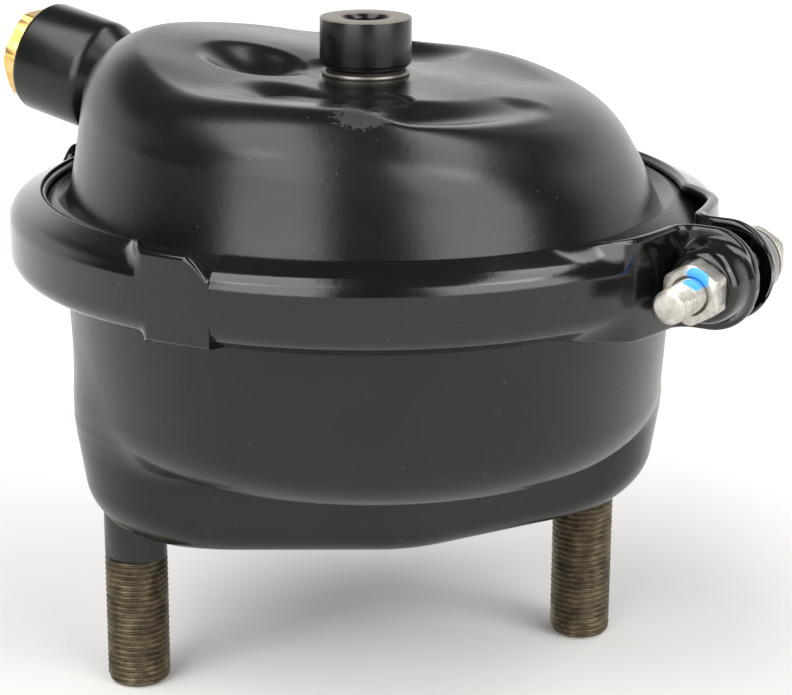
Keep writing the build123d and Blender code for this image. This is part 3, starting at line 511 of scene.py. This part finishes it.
def crown_height(x, y):
    """Height of the dome's top: a thin plate spline, level outside CROWN_REACH, with the
    port's flat seat, two bowls, and a pocket and a crescent along arcs. A bowl lowers the
    top by depth*(1 - (d/radius)^2) within its radius. The pocket and the crescent cap it at
    their floor, rising with the distance d from their arc by 0.42*(d - 5.5) + 0.004*d^2 and
    by 0.034*d^2."""
    r = np.hypot(x, y)
    held = np.minimum(1.0, CROWN_REACH / np.maximum(r, 1e-6))
    hx, hy = x * held, y * held
    n = len(CROWN_XY)
    top = CROWN_WEIGHTS[n] + CROWN_WEIGHTS[n + 1] * hx + CROWN_WEIGHTS[n + 2] * hy
    for (px, py), weight in zip(CROWN_XY, CROWN_WEIGHTS):
        top = top + weight * spline_kernel((hx - px) ** 2 + (hy - py) ** 2)
    seat = 1 - bump(r, 12.0, 17.0)
    top = top * (1 - seat) + PLATEAU * seat
    for middle_x, middle_y, radius, depth, rounding in CROWN_BOWLS:
        bowl = 1 - ((x - middle_x) ** 2 + (y - middle_y) ** 2) / radius ** 2
        top = top - depth * soft_max(bowl, 0 * bowl, rounding)
    pocket = arc_distance(x, y, *POCKET_ARC)
    slope = 0.42 * np.maximum(pocket - 5.5, 0) + 0.004 * pocket ** 2
    top = soft_min(top, POCKET_FLOOR + slope, 1.2)
    crescent = arc_distance(x, y, *CRESCENT_ARC)
    return soft_min(top, CRESCENT_FLOOR + 0.034 * crescent ** 2, 2.0)


def dome_body(skin):
    """Inside of the dome's surface moved in by skin: wall and crown meet in an edge
    rounded by 12.5 mm on the high side and 19.5 mm on the low side."""

    def inside(x, y, z):
        az = np.degrees(np.arctan2(y, x))
        r = np.hypot(x, y)
        wall = (r - dome_wall(z, az)) * 0.985 + skin
        crown = (z - crown_height(x, y)) * 0.97 + skin
        edge = 16.0 - 3.5 * np.cos(np.radians(az + 170.0)) - skin
        return rounded_corner(wall, crown, edge)

    return inside


def dome_shell():
    """Outer skin from the port's hole down to the rim, then round the flange and back up
    the inner skin, on rays from DOME_RAYS_FROM."""
    azimuths = np.linspace(-180, 180, 400, endpoint=False)
    down, up = np.linspace(76.5, 3.2, 150), np.linspace(3.6, 75.0, 44)
    outer = along_rays(dome_body(0.0), DOME_RAYS_FROM, down, azimuths)
    rim = flange_rows(1, azimuths, 76.6)
    inner = along_rays(dome_body(SHEET), DOME_RAYS_FROM, up, azimuths)
    return np.concatenate([outer, rim, inner])


# The dome's paint is scuffed to a pale grain on its front edge
DOME_PAINT = black_paint("scuffed_black_electrocoat", 0.25)
scuff = spot_mask(DOME_PAINT, (-15.0, -54.0, 113.0), np.eye(3), (6.5, 4.5, 3.5), 2.6)
overlaid(DOME_PAINT, scuff, "#2f2e2c", 0.0, 0.42)
piece("pressed_dome", [dome_shell()], DOME_PAINT, "pressure_housing")


def foot_distance(x, y):
    """Plan distance from the foot's outline, the hull of a circle of radius 37 at the
    middle and two of 25.3 at x = +-46.7."""
    ax, ay = np.abs(x), np.abs(y)
    span, big, small = 46.7, 37.0, 25.3
    b = (big - small) / span
    a = np.sqrt(1 - b * b)
    k = -b * ay + a * ax
    side = ay * a + ax * b - big
    d = np.where(k < 0, np.hypot(ax, ay) - big, side)
    return np.where(k > a * span, np.hypot(ax - span, ay) - small, d)


def can_body(skin):
    """Inside of the lower can moved in by skin: a tapered bowl that leans 1.1 mm to the
    right, its bottom edge rounded by 13 mm, joined over 6 mm to the foot under its floor.
    The foot's ends reach 3.6 mm further, taper by 0.12 mm per mm and are rounded by 13.5 mm."""

    def inside(x, y, z):
        r = np.hypot(x, y)
        wall = 73.3 + 0.066 * (z - 23.5) + 1.2 * np.exp(-(68.0 - np.minimum(z, 68.0)) / 1.8)
        wall = wall + 1.1 * np.cos(np.arctan2(y, x) + 0.26)
        bowl = rounded_corner((r - wall) * 0.998 + skin, 24.0 - z + skin, 13.0 - skin)
        foot_x = x - FOOT_MIDDLE
        end = bump(np.abs(foot_x), 42.0, 68.0)
        side = foot_distance(foot_x, y) - 0.035 * z
        side = side + end * (0.12 * np.maximum(26.0 - z, 0) - 3.6)
        foot = rounded_corner(side + skin, skin - z, 7.5 + 6.0 * end - skin)
        foot = foot + 0.25 * np.maximum(z - 30.0, 0)
        return soft_min(bowl, foot, 6.0)

    return inside


def can_shell():
    """Outer skin from the opening in the foot up to the rim, round the flange and back
    down the inner skin, on rays from CAN_RAYS_FROM."""
    azimuths = np.linspace(-180, 180, 400, endpoint=False)
    lowest = np.degrees(np.arctan2(CAN_RAYS_FROM, FOOT_OPENING))
    lowest_inside = np.degrees(np.arctan2(CAN_RAYS_FROM - SHEET, FOOT_OPENING))
    up, down = np.linspace(-lowest, 15.9, 170), np.linspace(18.0, -lowest_inside, 40)
    outer = along_rays(can_body(0.0), CAN_RAYS_FROM, up, azimuths)
    rim = flange_rows(-1, azimuths, 77.6)
    inner = along_rays(can_body(SHEET), CAN_RAYS_FROM, down, azimuths)
    return np.concatenate([outer, rim, inner])


piece("pressed_can", [can_shell()], HOUSING_PAINT, "non_pressure_housing")

# ---------------------------------------------------------------- clamp ring

FLEX = (-133.5, 42.0, 136.0)        # azimuths of the flat strips
UPPER_RAMP = (-12.0, -5.0)          # where each edge flattens, in degrees past its azimuth
LOWER_RAMP = (-8.5, -4.5)
NOTCH_RAMP = (2.0, 5.5)             # where the upper edge is cut down to its notch
STRIP_END = 6.02                    # and where strip and notch stop
# The sweep has rows at the ends of ramps and notches
FLEX_STEPS = (*LOWER_RAMP, 2.0, 4.0, 5.0, 5.5, 6.0, 6.05)
CHANNEL_HALF = 13.3                 # developed half widths of the sheet
UPPER_STRIP_HALF, LOWER_STRIP_HALF = 10.4, 8.6
NOTCHED_HALF = 6.0
EAR_BEND = 5.5
CORNER_BEND, WEB_HALF = 3.4, 4.05   # radius from web to flange, straight half of the web
LIP = 0.9                           # the sheet's edges bulge by this


def clamp_path():
    """Plan of the clamp's middle surface from one ear's tip round the ring to the other:
    straight ear, bend, circle, bend, ear. Returns points and left-hand normals, which
    point outward on the ring."""
    ring = CLAMP_RADIUS - CLAMP_SHEET / 2
    ear = EAR_HALF_GAP + CLAMP_SHEET / 2
    centre_t = ear + EAR_BEND
    centre_x = np.sqrt((ring + EAR_BEND) ** 2 - centre_t ** 2)
    lean = np.arcsin(centre_t / (ring + EAR_BEND))
    tip = EAR_REACH - centre_x
    s = np.linspace(0, 1, 64) ** 1.4
    straight = np.stack([EAR_REACH - 0.05 - s * (tip - 0.05), np.full(64, ear)], axis=1)
    straight_n = np.tile([0.0, 1.0], (64, 1))
    q = np.linspace(0, np.pi / 2 - lean, 22)[1:]
    arc_n = np.stack([np.sin(q), np.cos(q)], axis=1)
    arc = np.array([centre_x, centre_t]) - EAR_BEND * arc_n
    near = np.linspace(lean, np.radians(32.0), 44)[1:]
    edges = turned(np.add.outer(FLEX, FLEX_STEPS).ravel(), GAP_AZIMUTH)
    rest = np.linspace(np.radians(32.0), np.pi, 330)[1:]
    a = np.unique(np.concatenate([near, rest, np.radians(np.abs(edges))]))
    half = np.stack([ring * np.cos(a), ring * np.sin(a)], axis=1)
    plan = np.concatenate([straight, arc, half])
    normal = np.concatenate([straight_n, arc_n, half / ring])
    mirrored = (grid[::-1][1:] * [1, -1] for grid in (plan, normal))
    return tuple(np.concatenate(halves) for halves in zip((plan, normal), mirrored))


def sheet_half(developed, bend):
    """Half of the sheet's section at each place of the path: it runs up from the middle of
    the web, bends over a radius and goes on straight. With h the straight half of the web
    and p = clip((u - h)/radius, 0, bend): inset = radius*(1 - cos p) + rest*sin(bend),
    height = min(u, h) + radius*sin p + rest*cos(bend)."""
    radius, h = CORNER_BEND, WEB_HALF
    length = developed[:, None] * np.linspace(0, 1, 30)[None, :]
    b = bend[:, None]
    p = np.clip((length - h) / radius, 0, b)
    rest = np.maximum(length - h - radius * b, 0)
    inset = radius * (1 - np.cos(p)) + rest * np.sin(b)
    return inset, np.minimum(length, h) + radius * np.sin(p) + rest * np.cos(b), p


def clamp_shell():
    """Sheet of the clamp swept along its path: a channel, flattened to upright strips that
    end in notches, and opened into the two ears, out of which cups are pressed."""
    plan, normal = clamp_path()
    x_dir, t_dir = unit(GAP_AZIMUTH)[:2], unit(GAP_AZIMUTH + 90)[:2]
    tip = EAR_REACH - plan[:, 0]
    on_ear = (plan[:, 0] > 80) & (np.abs(plan[:, 1]) < 40)
    azimuth = np.degrees(np.arctan2(plan[:, 1], plan[:, 0])) + GAP_AZIMUTH
    opened = 1 - bump(np.abs(turned(azimuth, GAP_AZIMUTH)), 15.0, 30.0)
    upper_flat, lower_flat, notch = opened, opened, 0 * opened
    first, last = NOTCH_RAMP
    for middle in FLEX:
        past = turned(azimuth, middle)
        ends = past < STRIP_END
        upper_flat = np.maximum(upper_flat, bump(past, *UPPER_RAMP) * ends)
        lower_flat = np.maximum(lower_flat, bump(past, *LOWER_RAMP) * ends)
        cut = np.sqrt(np.clip((past - first) / (last - first), 0, 1)) ** 3
        notch = np.maximum(notch, cut * ends * (past > 0))
    full_bend = np.radians(90 - CLAMP_SLOPE)
    short = np.maximum(EAR_HALF_HEIGHT - tip, 0)
    round_tip = np.sqrt(np.maximum(EAR_HALF_HEIGHT ** 2 - short ** 2, 0.01))
    round_tip = np.where(on_ear & (tip < EAR_HALF_HEIGHT), round_tip, EAR_HALF_HEIGHT)
    upper = CHANNEL_HALF * (1 - upper_flat) + UPPER_STRIP_HALF * upper_flat
    upper = upper * (1 - notch) + NOTCHED_HALF * notch
    lower = CHANNEL_HALF * (1 - lower_flat) + LOWER_STRIP_HALF * lower_flat
    upper = upper * (1 - opened) + round_tip * opened
    lower = lower * (1 - opened) + round_tip * opened
    in_up, up, lean_up = sheet_half(upper, full_bend * (1 - upper_flat))
    in_low, low, lean_low = sheet_half(lower, full_bend * (1 - lower_flat))
    middle_in = np.concatenate([in_low[:, :0:-1], in_up], axis=1)
    middle_up = np.concatenate([-low[:, :0:-1], up], axis=1)
    lean = np.concatenate([-lean_low[:, :0:-1], lean_up], axis=1)
    half = CLAMP_SHEET / 2
    rim = np.radians([64.0, 32.0, 0.0, -32.0, -64.0])
    lip_across, lip_out = half * np.sin(rim), LIP * np.cos(rim)
    c_top, s_top = np.cos(lean[:, -1:]), np.sin(lean[:, -1:])
    top_in = middle_in[:, -1:] - lip_across * c_top + lip_out * s_top
    top_up = middle_up[:, -1:] + lip_across * s_top + lip_out * c_top
    c_low, s_low = np.cos(lean[:, :1]), np.sin(lean[:, :1])
    low_in = middle_in[:, :1] + lip_across * c_low - lip_out * s_low
    low_up = middle_up[:, :1] - lip_across * s_low - lip_out * c_low
    outer_in, outer_up = middle_in - half * np.cos(lean), middle_up + half * np.sin(lean)
    inner_in, inner_up = middle_in + half * np.cos(lean), middle_up - half * np.sin(lean)
    loop_in = np.concatenate([outer_in, top_in, inner_in[:, ::-1], low_in], axis=1)
    loop_up = np.concatenate([outer_up, top_up, inner_up[:, ::-1], low_up], axis=1)
    x = plan[:, 0:1] - normal[:, 0:1] * loop_in
    t = plan[:, 1:2] - normal[:, 1:2] * loop_in
    # cup pressed out of each ear, on which the bolt's flange and the nut sit
    away = np.hypot(x - BOLT_PLACE, loop_up)
    edge = np.full(len(rim), 0.5)
    skin = np.concatenate([np.zeros(outer_in.shape[1]), edge, np.ones(inner_in.shape[1]), edge])
    flat_face = EAR_HALF_GAP + (1 - skin) * CLAMP_SHEET
    cup_face = SEAT_PLACE - skin * CLAMP_SHEET
    shoulder = np.sqrt(np.clip(1 - ((away - 6.9) / 2.4).clip(0, 1) ** 2, 0, 1))
    wall = 1 - bump(away, 8.6, CUP_RADIUS)
    cup = flat_face + (cup_face - flat_face) * wall * (0.35 + 0.65 * shoulder)
    in_cup = on_ear[:, None] & (away < CUP_RADIUS)
    lifted_t = np.where(in_cup, np.maximum(np.abs(t), cup), np.abs(t))
    t = np.sign(t) * lifted_t
    px = x * x_dir[0] + t * t_dir[0]
    py = x * x_dir[1] + t * t_dir[1]
    middle_height = CLAMP_HEIGHT + (EAR_MIDDLE - CLAMP_HEIGHT) * opened[:, None]
    return np.stack([px, py, middle_height + loop_up], axis=-1)


piece(
    "rolled_clamp", [clamp_shell()], CLAMP_PAINT, "clamp_band", sharp=50, caps=True)

# ---------------------------------------------------------------- threads, bolt and nut


def threaded_rod(radius, pitch, start_height, end_height, per_pitch, segments, tip):
    """Rod turned about its axis, with per_pitch rows to a turn of its thread:
    radius - depth*V(h/pitch - t/turn), where V is a triangle wave cut flat at crest and
    root. Towards its end the rod is rounded over the tip."""
    rows = int(abs(end_height - start_height) / pitch * per_pitch)
    h = np.linspace(start_height, end_height, rows)[:, None]
    t = np.linspace(0, TURN, segments, endpoint=False)[None, :]
    wave = np.abs(((h / pitch - t / TURN) % 1.0) * 2 - 1)
    groove = 0.613 * pitch * np.clip(wave * 1.3 - 0.12, 0, 1)
    left = np.abs(h - end_height)
    fade = np.sqrt(np.clip(1 - (1 - np.clip(left / tip, 0, 1)) ** 2, 0, 1))
    r = radius - groove
    r = np.minimum(r, radius - tip + tip * fade)
    return np.stack([r * np.cos(t), r * np.sin(t), h + 0 * t], axis=-1)


def closed_end(grid, height, shrink=0.02):
    """Grid with a last row drawn in to its axis, so that the end reads as flat."""
    last = grid[-1:].copy()
    last[..., :2] *= shrink
    last[..., 2] = height
    return np.concatenate([grid, last])


def hexagon(across, profile, segments=144):
    """Hexagonal bar turned down by a profile [(radius, height), ...]: at each height the
    lesser of the profile's radius and across/2/cos(angle from the nearest flat)."""
    profile = np.asarray(profile, float)
    t = np.linspace(0, TURN, segments, endpoint=False)
    near = (t + np.pi / 6) % (np.pi / 3) - np.pi / 6
    flat = across / 2 / np.cos(near)
    corner = across / 2 / np.cos(np.pi / 6)
    flat = soft_min(flat, corner - 0.15 + 0 * flat, 0.3)
    r = np.minimum(profile[:, 0:1], flat[None, :])
    h = profile[:, 1:2] + 0 * t
    return np.stack([r * np.cos(t), r * np.sin(t), h], axis=-1)


gap_out = unit(GAP_AZIMUTH)
gap_along = unit(GAP_AZIMUTH + 90)
bolt_foot = gap_out * BOLT_PLACE + np.array([0, 0, EAR_MIDDLE])


def on_bolt(grid):
    """Carries a grid turned about Z onto the clamp bolt's axis."""
    return place(grid, bolt_foot, gap_along, gap_out)


# Zinc with a dab of blue inspection paint across nut and thread
MARKED_ZINC = bare_or_plated("zinc_with_inspection_paint", *ZINC_LOOK)
mark_turn = np.radians(67)   # from outward to up, round the bolt
mark_out = gap_out * np.cos(mark_turn) + np.array([0, 0, np.sin(mark_turn)])
mark_middle = bolt_foot - gap_along * (SEAT_PLACE + 8.4) + mark_out * 4.9
mark_axes = (gap_along, mark_out, np.cross(gap_along, mark_out))
mark = spot_mask(MARKED_ZINC, mark_middle, mark_axes, (3.6, 2.2, 3.1), 0.9)
overlaid(MARKED_ZINC, mark, "#3f9ff2", 0.0, 0.45)

shank = threaded_rod(BOLT_RADIUS, 1.25, SEAT_PLACE, BOLT_TIP, per_pitch=12, segments=48, tip=1.1)
shank = closed_end(shank, BOLT_TIP)
head_top = SEAT_PLACE + 7.0
head = hexagon(ACROSS_FLATS, [
    (0.1, head_top - 0.5), (4.6, head_top - 0.5), (5.3, head_top - 0.1), (6.2, head_top),
    (6.9, head_top - 0.35), (7.6, head_top - 0.9), (7.6, SEAT_PLACE + 1.4),
    (0.1, SEAT_PLACE + 1.4),
])
flange = lathe(softened([
    (0.1, SEAT_PLACE), (8.45, SEAT_PLACE), (8.5, SEAT_PLACE + 0.7), (6.4, SEAT_PLACE + 1.9),
    (0.1, SEAT_PLACE + 1.9),
], 0.25), 96)
bolt_grids = [on_bolt(grid) for grid in (shank, head, flange)]
piece("flanged_clamp_bolt", bolt_grids, MARKED_ZINC, "clamp_bolt", sharp=30)

nut_face = -SEAT_PLACE - 6.8
nut = hexagon(ACROSS_FLATS, [
    (4.1, -SEAT_PLACE), (6.0, -SEAT_PLACE), (6.4, -SEAT_PLACE - 0.15), (7.6, -SEAT_PLACE - 0.85),
    (7.6, nut_face + 0.95), (7.0, nut_face + 0.5), (6.1, nut_face + 0.1), (5.4, nut_face),
    (4.7, nut_face), (4.1, nut_face + 0.6),
])
piece("hexagon_clamp_nut", [on_bolt(nut)], MARKED_ZINC, "clamp_nut", sharp=30)

# ---------------------------------------------------------------- mounting studs

# Name, node, side of the middle, and height down to which the housing's paint reaches
STUDS = (
    ("left_stud", "left_mounting_stud", -1, -6.8), ("right_stud", "right_mounting_stud", 1, -3.0),
)
for name, node, side, root in STUDS:
    # Phosphated thread below a root painted black with the housing
    finish = bare_or_plated(name + "_phosphate_and_paint", *PHOSPHATE_LOOK)
    overlaid(finish, height_mask(finish, root - 0.8, root + 0.3), PAINT_BLACK, 0.0, 0.3)
    thread = threaded_rod(STUD_RADIUS, 1.5, root, STUD_TIP, per_pitch=10, segments=72, tip=2.2)
    neck = lathe([(0.1, 8.0), (7.9, 8.0), (7.9, root + 0.6)], 72)
    rod = closed_end(np.concatenate([neck, thread]), STUD_TIP)
    rod = rod + np.array([side * STUD_PLACE, 0.0, 0.0])
    piece(name, [rod], finish, node, sharp=60)

# ---------------------------------------------------------------- port bosses


def weld_bead(radius, size, ripples):
    """Bead round a boss: a circle of the size carried about the axis, its size varied by
    8% with ripples like laid coins."""
    ring = np.linspace(0, TURN, 14, endpoint=False)[:, None]
    t = np.linspace(0, TURN, 144, endpoint=False)[None, :]
    s = size * (1 + 0.08 * np.cos(ripples * t + 1.5 * np.cos(ring)) + 0.03 * np.cos(5 * t))
    r = radius + s * np.cos(ring)
    return np.stack([r * np.cos(t), r * np.sin(t), s * np.sin(ring) + 0 * t], axis=-1)


central = lathe(softened([
    (BORE_RADIUS, PLATEAU - 3.0), (8.4, PLATEAU - 3.0), (8.4, PLATEAU + 0.2), (9.6, PLATEAU + 0.2),
    (9.6, PLATEAU + 1.4), (BOSS_RADIUS, PLATEAU + 3.0), (BOSS_RADIUS, BOSS_TOP),
    (BORE_RADIUS + 1.0, BOSS_TOP), (BORE_RADIUS, BOSS_TOP - 1.0),
], 0.45), 120)
central_weld = weld_bead(10.2, 0.7, 3) + np.array([0, 0, PLATEAU + 0.4])
# Black paint, rubbed off the boss's top face to a dull brown grey, and a light metal band
# # round its foot and weld bead: a painted highlight standing in for the bright line there
BOSS_FINISH = black_paint("black_paint_bare_top_and_painted_highlight", 0.24)
top_face = height_mask(BOSS_FINISH, BOSS_TOP - 0.35, BOSS_TOP - 0.25)
overlaid(BOSS_FINISH, top_face, "#6a645b", 0.0, 0.42)
# Painted highlight: light metal finish below 1.4 mm above the plateau, for the bright ring at the
# boss's foot
foot_highlight_band = height_mask(BOSS_FINISH, PLATEAU + 1.6, PLATEAU + 1.4)
overlaid(BOSS_FINISH, foot_highlight_band, "#7b7871", 1.0, 0.40)
boss_grids = [central, central_weld]
piece("central_boss", boss_grids, BOSS_FINISH, "central_port_boss", sharp=40)

side_out = unit(SIDE_AZIMUTH)
side_tilt = np.radians(SIDE_TILT)
side_along = side_out * np.cos(side_tilt) + np.array([0, 0, np.sin(side_tilt)])
side_across = np.cross(side_along, unit(SIDE_AZIMUTH - 90))
side_foot = side_out * SIDE_FOOT_RADIUS + np.array([0, 0, SIDE_FOOT_HEIGHT])


def on_side_port(grid):
    """Carries a grid turned about Z onto the side port's axis."""
    return place(grid, side_foot, side_along, side_across)


side_boss = lathe(softened([
    (7.0, -8.0), (10.9, -8.0), (10.9, 8.6), (14.6, 14.2), (14.6, 33.7), (9.2, 33.7), (9.2, 32.1),
    (7.0, 32.1),
], 1.5, 4), 120)
side_weld = weld_bead(11.2, 1.9, 30) + np.array([0, 0, 3.4])
side_grids = [on_side_port(side_boss), on_side_port(side_weld)]
piece("side_boss", side_grids, HOUSING_PAINT, "side_port_boss", sharp=40)

fitting_hex = hexagon(22.0, [
    (4.6, 19.7), (7.0, 19.7), (7.0, 33.7), (11.0, 33.7), (12.8, 34.3), (12.8, 38.0), (11.6, 38.6),
    (10.6, 38.9), (5.2, 38.9), (4.6, 38.3),
])
adapter_grids = [on_side_port(fitting_hex)]
piece("brass_adapter", adapter_grids, BRASS, "side_port_fitting", sharp=28)

# ---------------------------------------------------------------- carried-over solids

finish_of = {
    "housing_paint": HOUSING_PAINT, "clamp_paint": CLAMP_PAINT, "phosphated_steel": PHOSPHATE,
    "plain_steel": PLAIN_STEEL, "spring_steel": SPRING_COAT, "zinc_steel": ZINC, "brass": BRASS,
    "rubber": RUBBER,
}
slot_of = {part["node"]: part["material_slot"] for part in frame["record"]["subparts"]}
for node_name, node_object in frame["nodes"].items():
    node_object.data.materials.clear()
    node_object.data.materials.append(finish_of[slot_of[node_name]])

# The soft pieces are shown as copies of their CAD meshes in place of those nodes: the
# # diaphragm's copy is left unparented, and the spring's and the boot's hang from the chamber
SOFT_PIECES = {
    "diaphragm": "moulded_diaphragm", "return_spring": "coiled_spring", "dust_boot": "folded_boot",
}
for node_name, soft_name in SOFT_PIECES.items():
    soft = bpy.data.objects.new(soft_name, frame["nodes"][node_name].data.copy())
    bpy.context.scene.collection.objects.link(soft)
    if node_name == "diaphragm":
        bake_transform(soft)
    else:
        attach(soft, "chamber")
        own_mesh(soft)
    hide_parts(node_name)

# ---------------------------------------------------------------- floor, light and camera

FLOOR_SPAN = 6.0             # half its side, in metres


def rotated(vector):
    """Turns a vector given in the front view's floor plan by -VIEW_AZIMUTH about Z."""
    c, s = np.cos(np.radians(VIEW_AZIMUTH)), np.sin(np.radians(VIEW_AZIMUTH))
    x, y, z = vector
    return np.array([c * x + s * y, -s * x + c * y, z])


def floor_finish():
    """Plain pale matt floor in one colour."""
    material, _, shader, _ = start("pale_floor")
    shader.inputs["Base Color"].default_value = linear("#dededd")
    shader.inputs["Roughness"].default_value = 0.9
    shader.inputs["Specular IOR Level"].default_value = 0.0
    return material


floor_mesh = bpy.data.meshes.new("floor")
quadrants = ((-1, -1), (1, -1), (1, 1), (-1, 1))
corners = [(FLOOR_SPAN * a, FLOOR_SPAN * b, FLOOR * MM) for a, b in quadrants]
floor_mesh.from_pydata(corners, [], [(0, 1, 2, 3)])
floor_mesh.materials.append(floor_finish())
floor_object = bpy.data.objects.new("floor", floor_mesh)
bpy.context.scene.collection.objects.link(floor_object)


def aim(obj, position, target, roll):
    """Stands obj at a position in millimetres, its -Z towards the target, and rolls it."""
    position = np.asarray(position, float)
    back = position - np.asarray(target, float)
    back = back / np.linalg.norm(back)
    right = np.cross([0.0, 0.0, 1.0], back)
    right = right / np.linalg.norm(right)
    up = np.cross(back, right)
    c, s = np.cos(roll), np.sin(roll)
    right, up = c * right + s * up, c * up - s * right
    m = np.eye(4)
    m[:3, 0], m[:3, 1], m[:3, 2], m[:3, 3] = right, up, back, position * MM
    obj.matrix_world = Matrix(m.tolist())


EYE = (0.0, -570.0, 141.0)   # from the axis at the height EYE_BASE
EYE_BASE = 75.0
YAW, PITCH, ROLL = np.radians((0.79, 16.85, 0.31))
FOCAL_PIXELS, PICTURE_WIDTH, SENSOR = 2330.0, 792.0, 36.0

camera_data = bpy.data.cameras.new("camera")
camera_data.sensor_width = SENSOR
camera_data.lens = FOCAL_PIXELS / PICTURE_WIDTH * SENSOR
camera_data.clip_end = 50.0
camera = bpy.data.objects.new("camera", camera_data)
bpy.context.scene.collection.objects.link(camera)
eye = rotated(EYE) + np.array([0, 0, EYE_BASE])
look = rotated((np.sin(YAW) * np.cos(PITCH), np.cos(YAW) * np.cos(PITCH), -np.sin(PITCH)))
aim(camera, eye, eye + look * 500.0, roll=ROLL)
bpy.context.scene.camera = camera

# Radiance of the studio by direction, taken in the front view's floor plan as right, towards
# and up. A ceiling box lies between two values of right/(up + WIDENING*towards) and two of
# towards/up, so it widens towards the camera. A standing box lies between two azimuths and
# two elevations in radians. Behind the object stands a backdrop, low down.
WIDENING = 0.66
LEAST_RISE = 0.02            # keeps the quotients finite at the horizon
CEILING_BOXES = ((-0.78, -0.12, -0.22, 0.95), (0.42, 0.90, -0.50, 0.95))
STANDING_BOXES = ((-0.90, -0.22, -0.05, 0.76), (0.40, 1.18, -0.05, 0.76))
CEILING_EDGE, STANDING_EDGE = 0.06, 0.10
BOX_RADIANCE = 4.6
BACKDROP_RADIANCE = 1.2
BACKDROP_SIDES = (0.05, -0.45)   # it fades in over these values of towards
BACKDROP_TOP = (0.30, 0.65)      # and out over these elevations
ROOM_RADIANCE = 0.10
SKY_TINT = (1.0, 0.985, 0.975, 1.0)

world = bpy.data.worlds.new("studio")
bpy.context.scene.world = world
world.use_nodes = True
sky = world.node_tree
sky.nodes.clear()
direction = add(sky, "ShaderNodeTexCoord").outputs["Generated"]
rightward, nearward, upward = (
    add(
        sky, "ShaderNodeVectorMath", {"operation": "DOT_PRODUCT"},
        _0=direction, _1=tuple(rotated(axis))).outputs["Value"]
    for axis in ((1, 0, 0), (0, -1, 0), (0, 0, 1)))
adding, times, quotient, greater = (
    {"operation": name} for name in ("ADD", "MULTIPLY", "DIVIDE", "MAXIMUM"))
smooth = {"interpolation_type": "SMOOTHSTEP"}
above = add(sky, "ShaderNodeMath", greater, _0=upward, _1=LEAST_RISE).outputs[0]
widening = add(
    sky, "ShaderNodeMath", {"operation": "MULTIPLY_ADD"},
    _0=nearward, _1=WIDENING, _2=above).outputs[0]
widened = add(sky, "ShaderNodeMath", greater, _0=widening, _1=LEAST_RISE).outputs[0]
slant = add(sky, "ShaderNodeMath", quotient, _0=rightward, _1=widened).outputs[0]
reach = add(sky, "ShaderNodeMath", quotient, _0=nearward, _1=above).outputs[0]
azimuth_of = add(
    sky, "ShaderNodeMath", {"operation": "ARCTAN2"}, _0=rightward, _1=nearward).outputs[0]
elevation = add(sky, "ShaderNodeMath", {"operation": "ARCSINE"}, _0=upward).outputs[0]
behind = add(
    sky, "ShaderNodeMapRange", smooth,
    _0=nearward, _1=BACKDROP_SIDES[0], _2=BACKDROP_SIDES[1], _3=0.0, _4=1.0).outputs[0]
low_down = add(
    sky, "ShaderNodeMapRange", smooth,
    _0=elevation, _1=BACKDROP_TOP[0], _2=BACKDROP_TOP[1], _3=BACKDROP_RADIANCE, _4=0.0).outputs[0]
backdrop = add(sky, "ShaderNodeMath", times, _0=behind, _1=low_down).outputs[0]
total = add(sky, "ShaderNodeMath", adding, _0=backdrop, _1=ROOM_RADIANCE).outputs[0]
for boxes, across, along, edge in (
        (CEILING_BOXES, slant, reach, CEILING_EDGE),
        (STANDING_BOXES, azimuth_of, elevation, STANDING_EDGE)):
    for across_from, across_to, along_from, along_to in boxes:
        glow = BOX_RADIANCE
        for value, low, high in ((across, across_from, across_to), (along, along_from, along_to)):
            # The box's light eases in at its low side and out at its high side
            for side, before in ((low, 0.0), (high, 1.0)):
                step = add(
                    sky, "ShaderNodeMapRange", smooth,
                    _0=value, _1=side - edge, _2=side + edge, _3=before, _4=1.0 - before)
                glow = add(sky, "ShaderNodeMath", times, _0=step.outputs[0], _1=glow).outputs[0]
        total = add(sky, "ShaderNodeMath", adding, _0=total, _1=glow).outputs[0]
studio = add(sky, "ShaderNodeBackground", Color=SKY_TINT, Strength=total)
add(sky, "ShaderNodeOutputWorld", Surface=studio.outputs[0])

bpy.context.scene.view_settings.view_transform = "Standard"
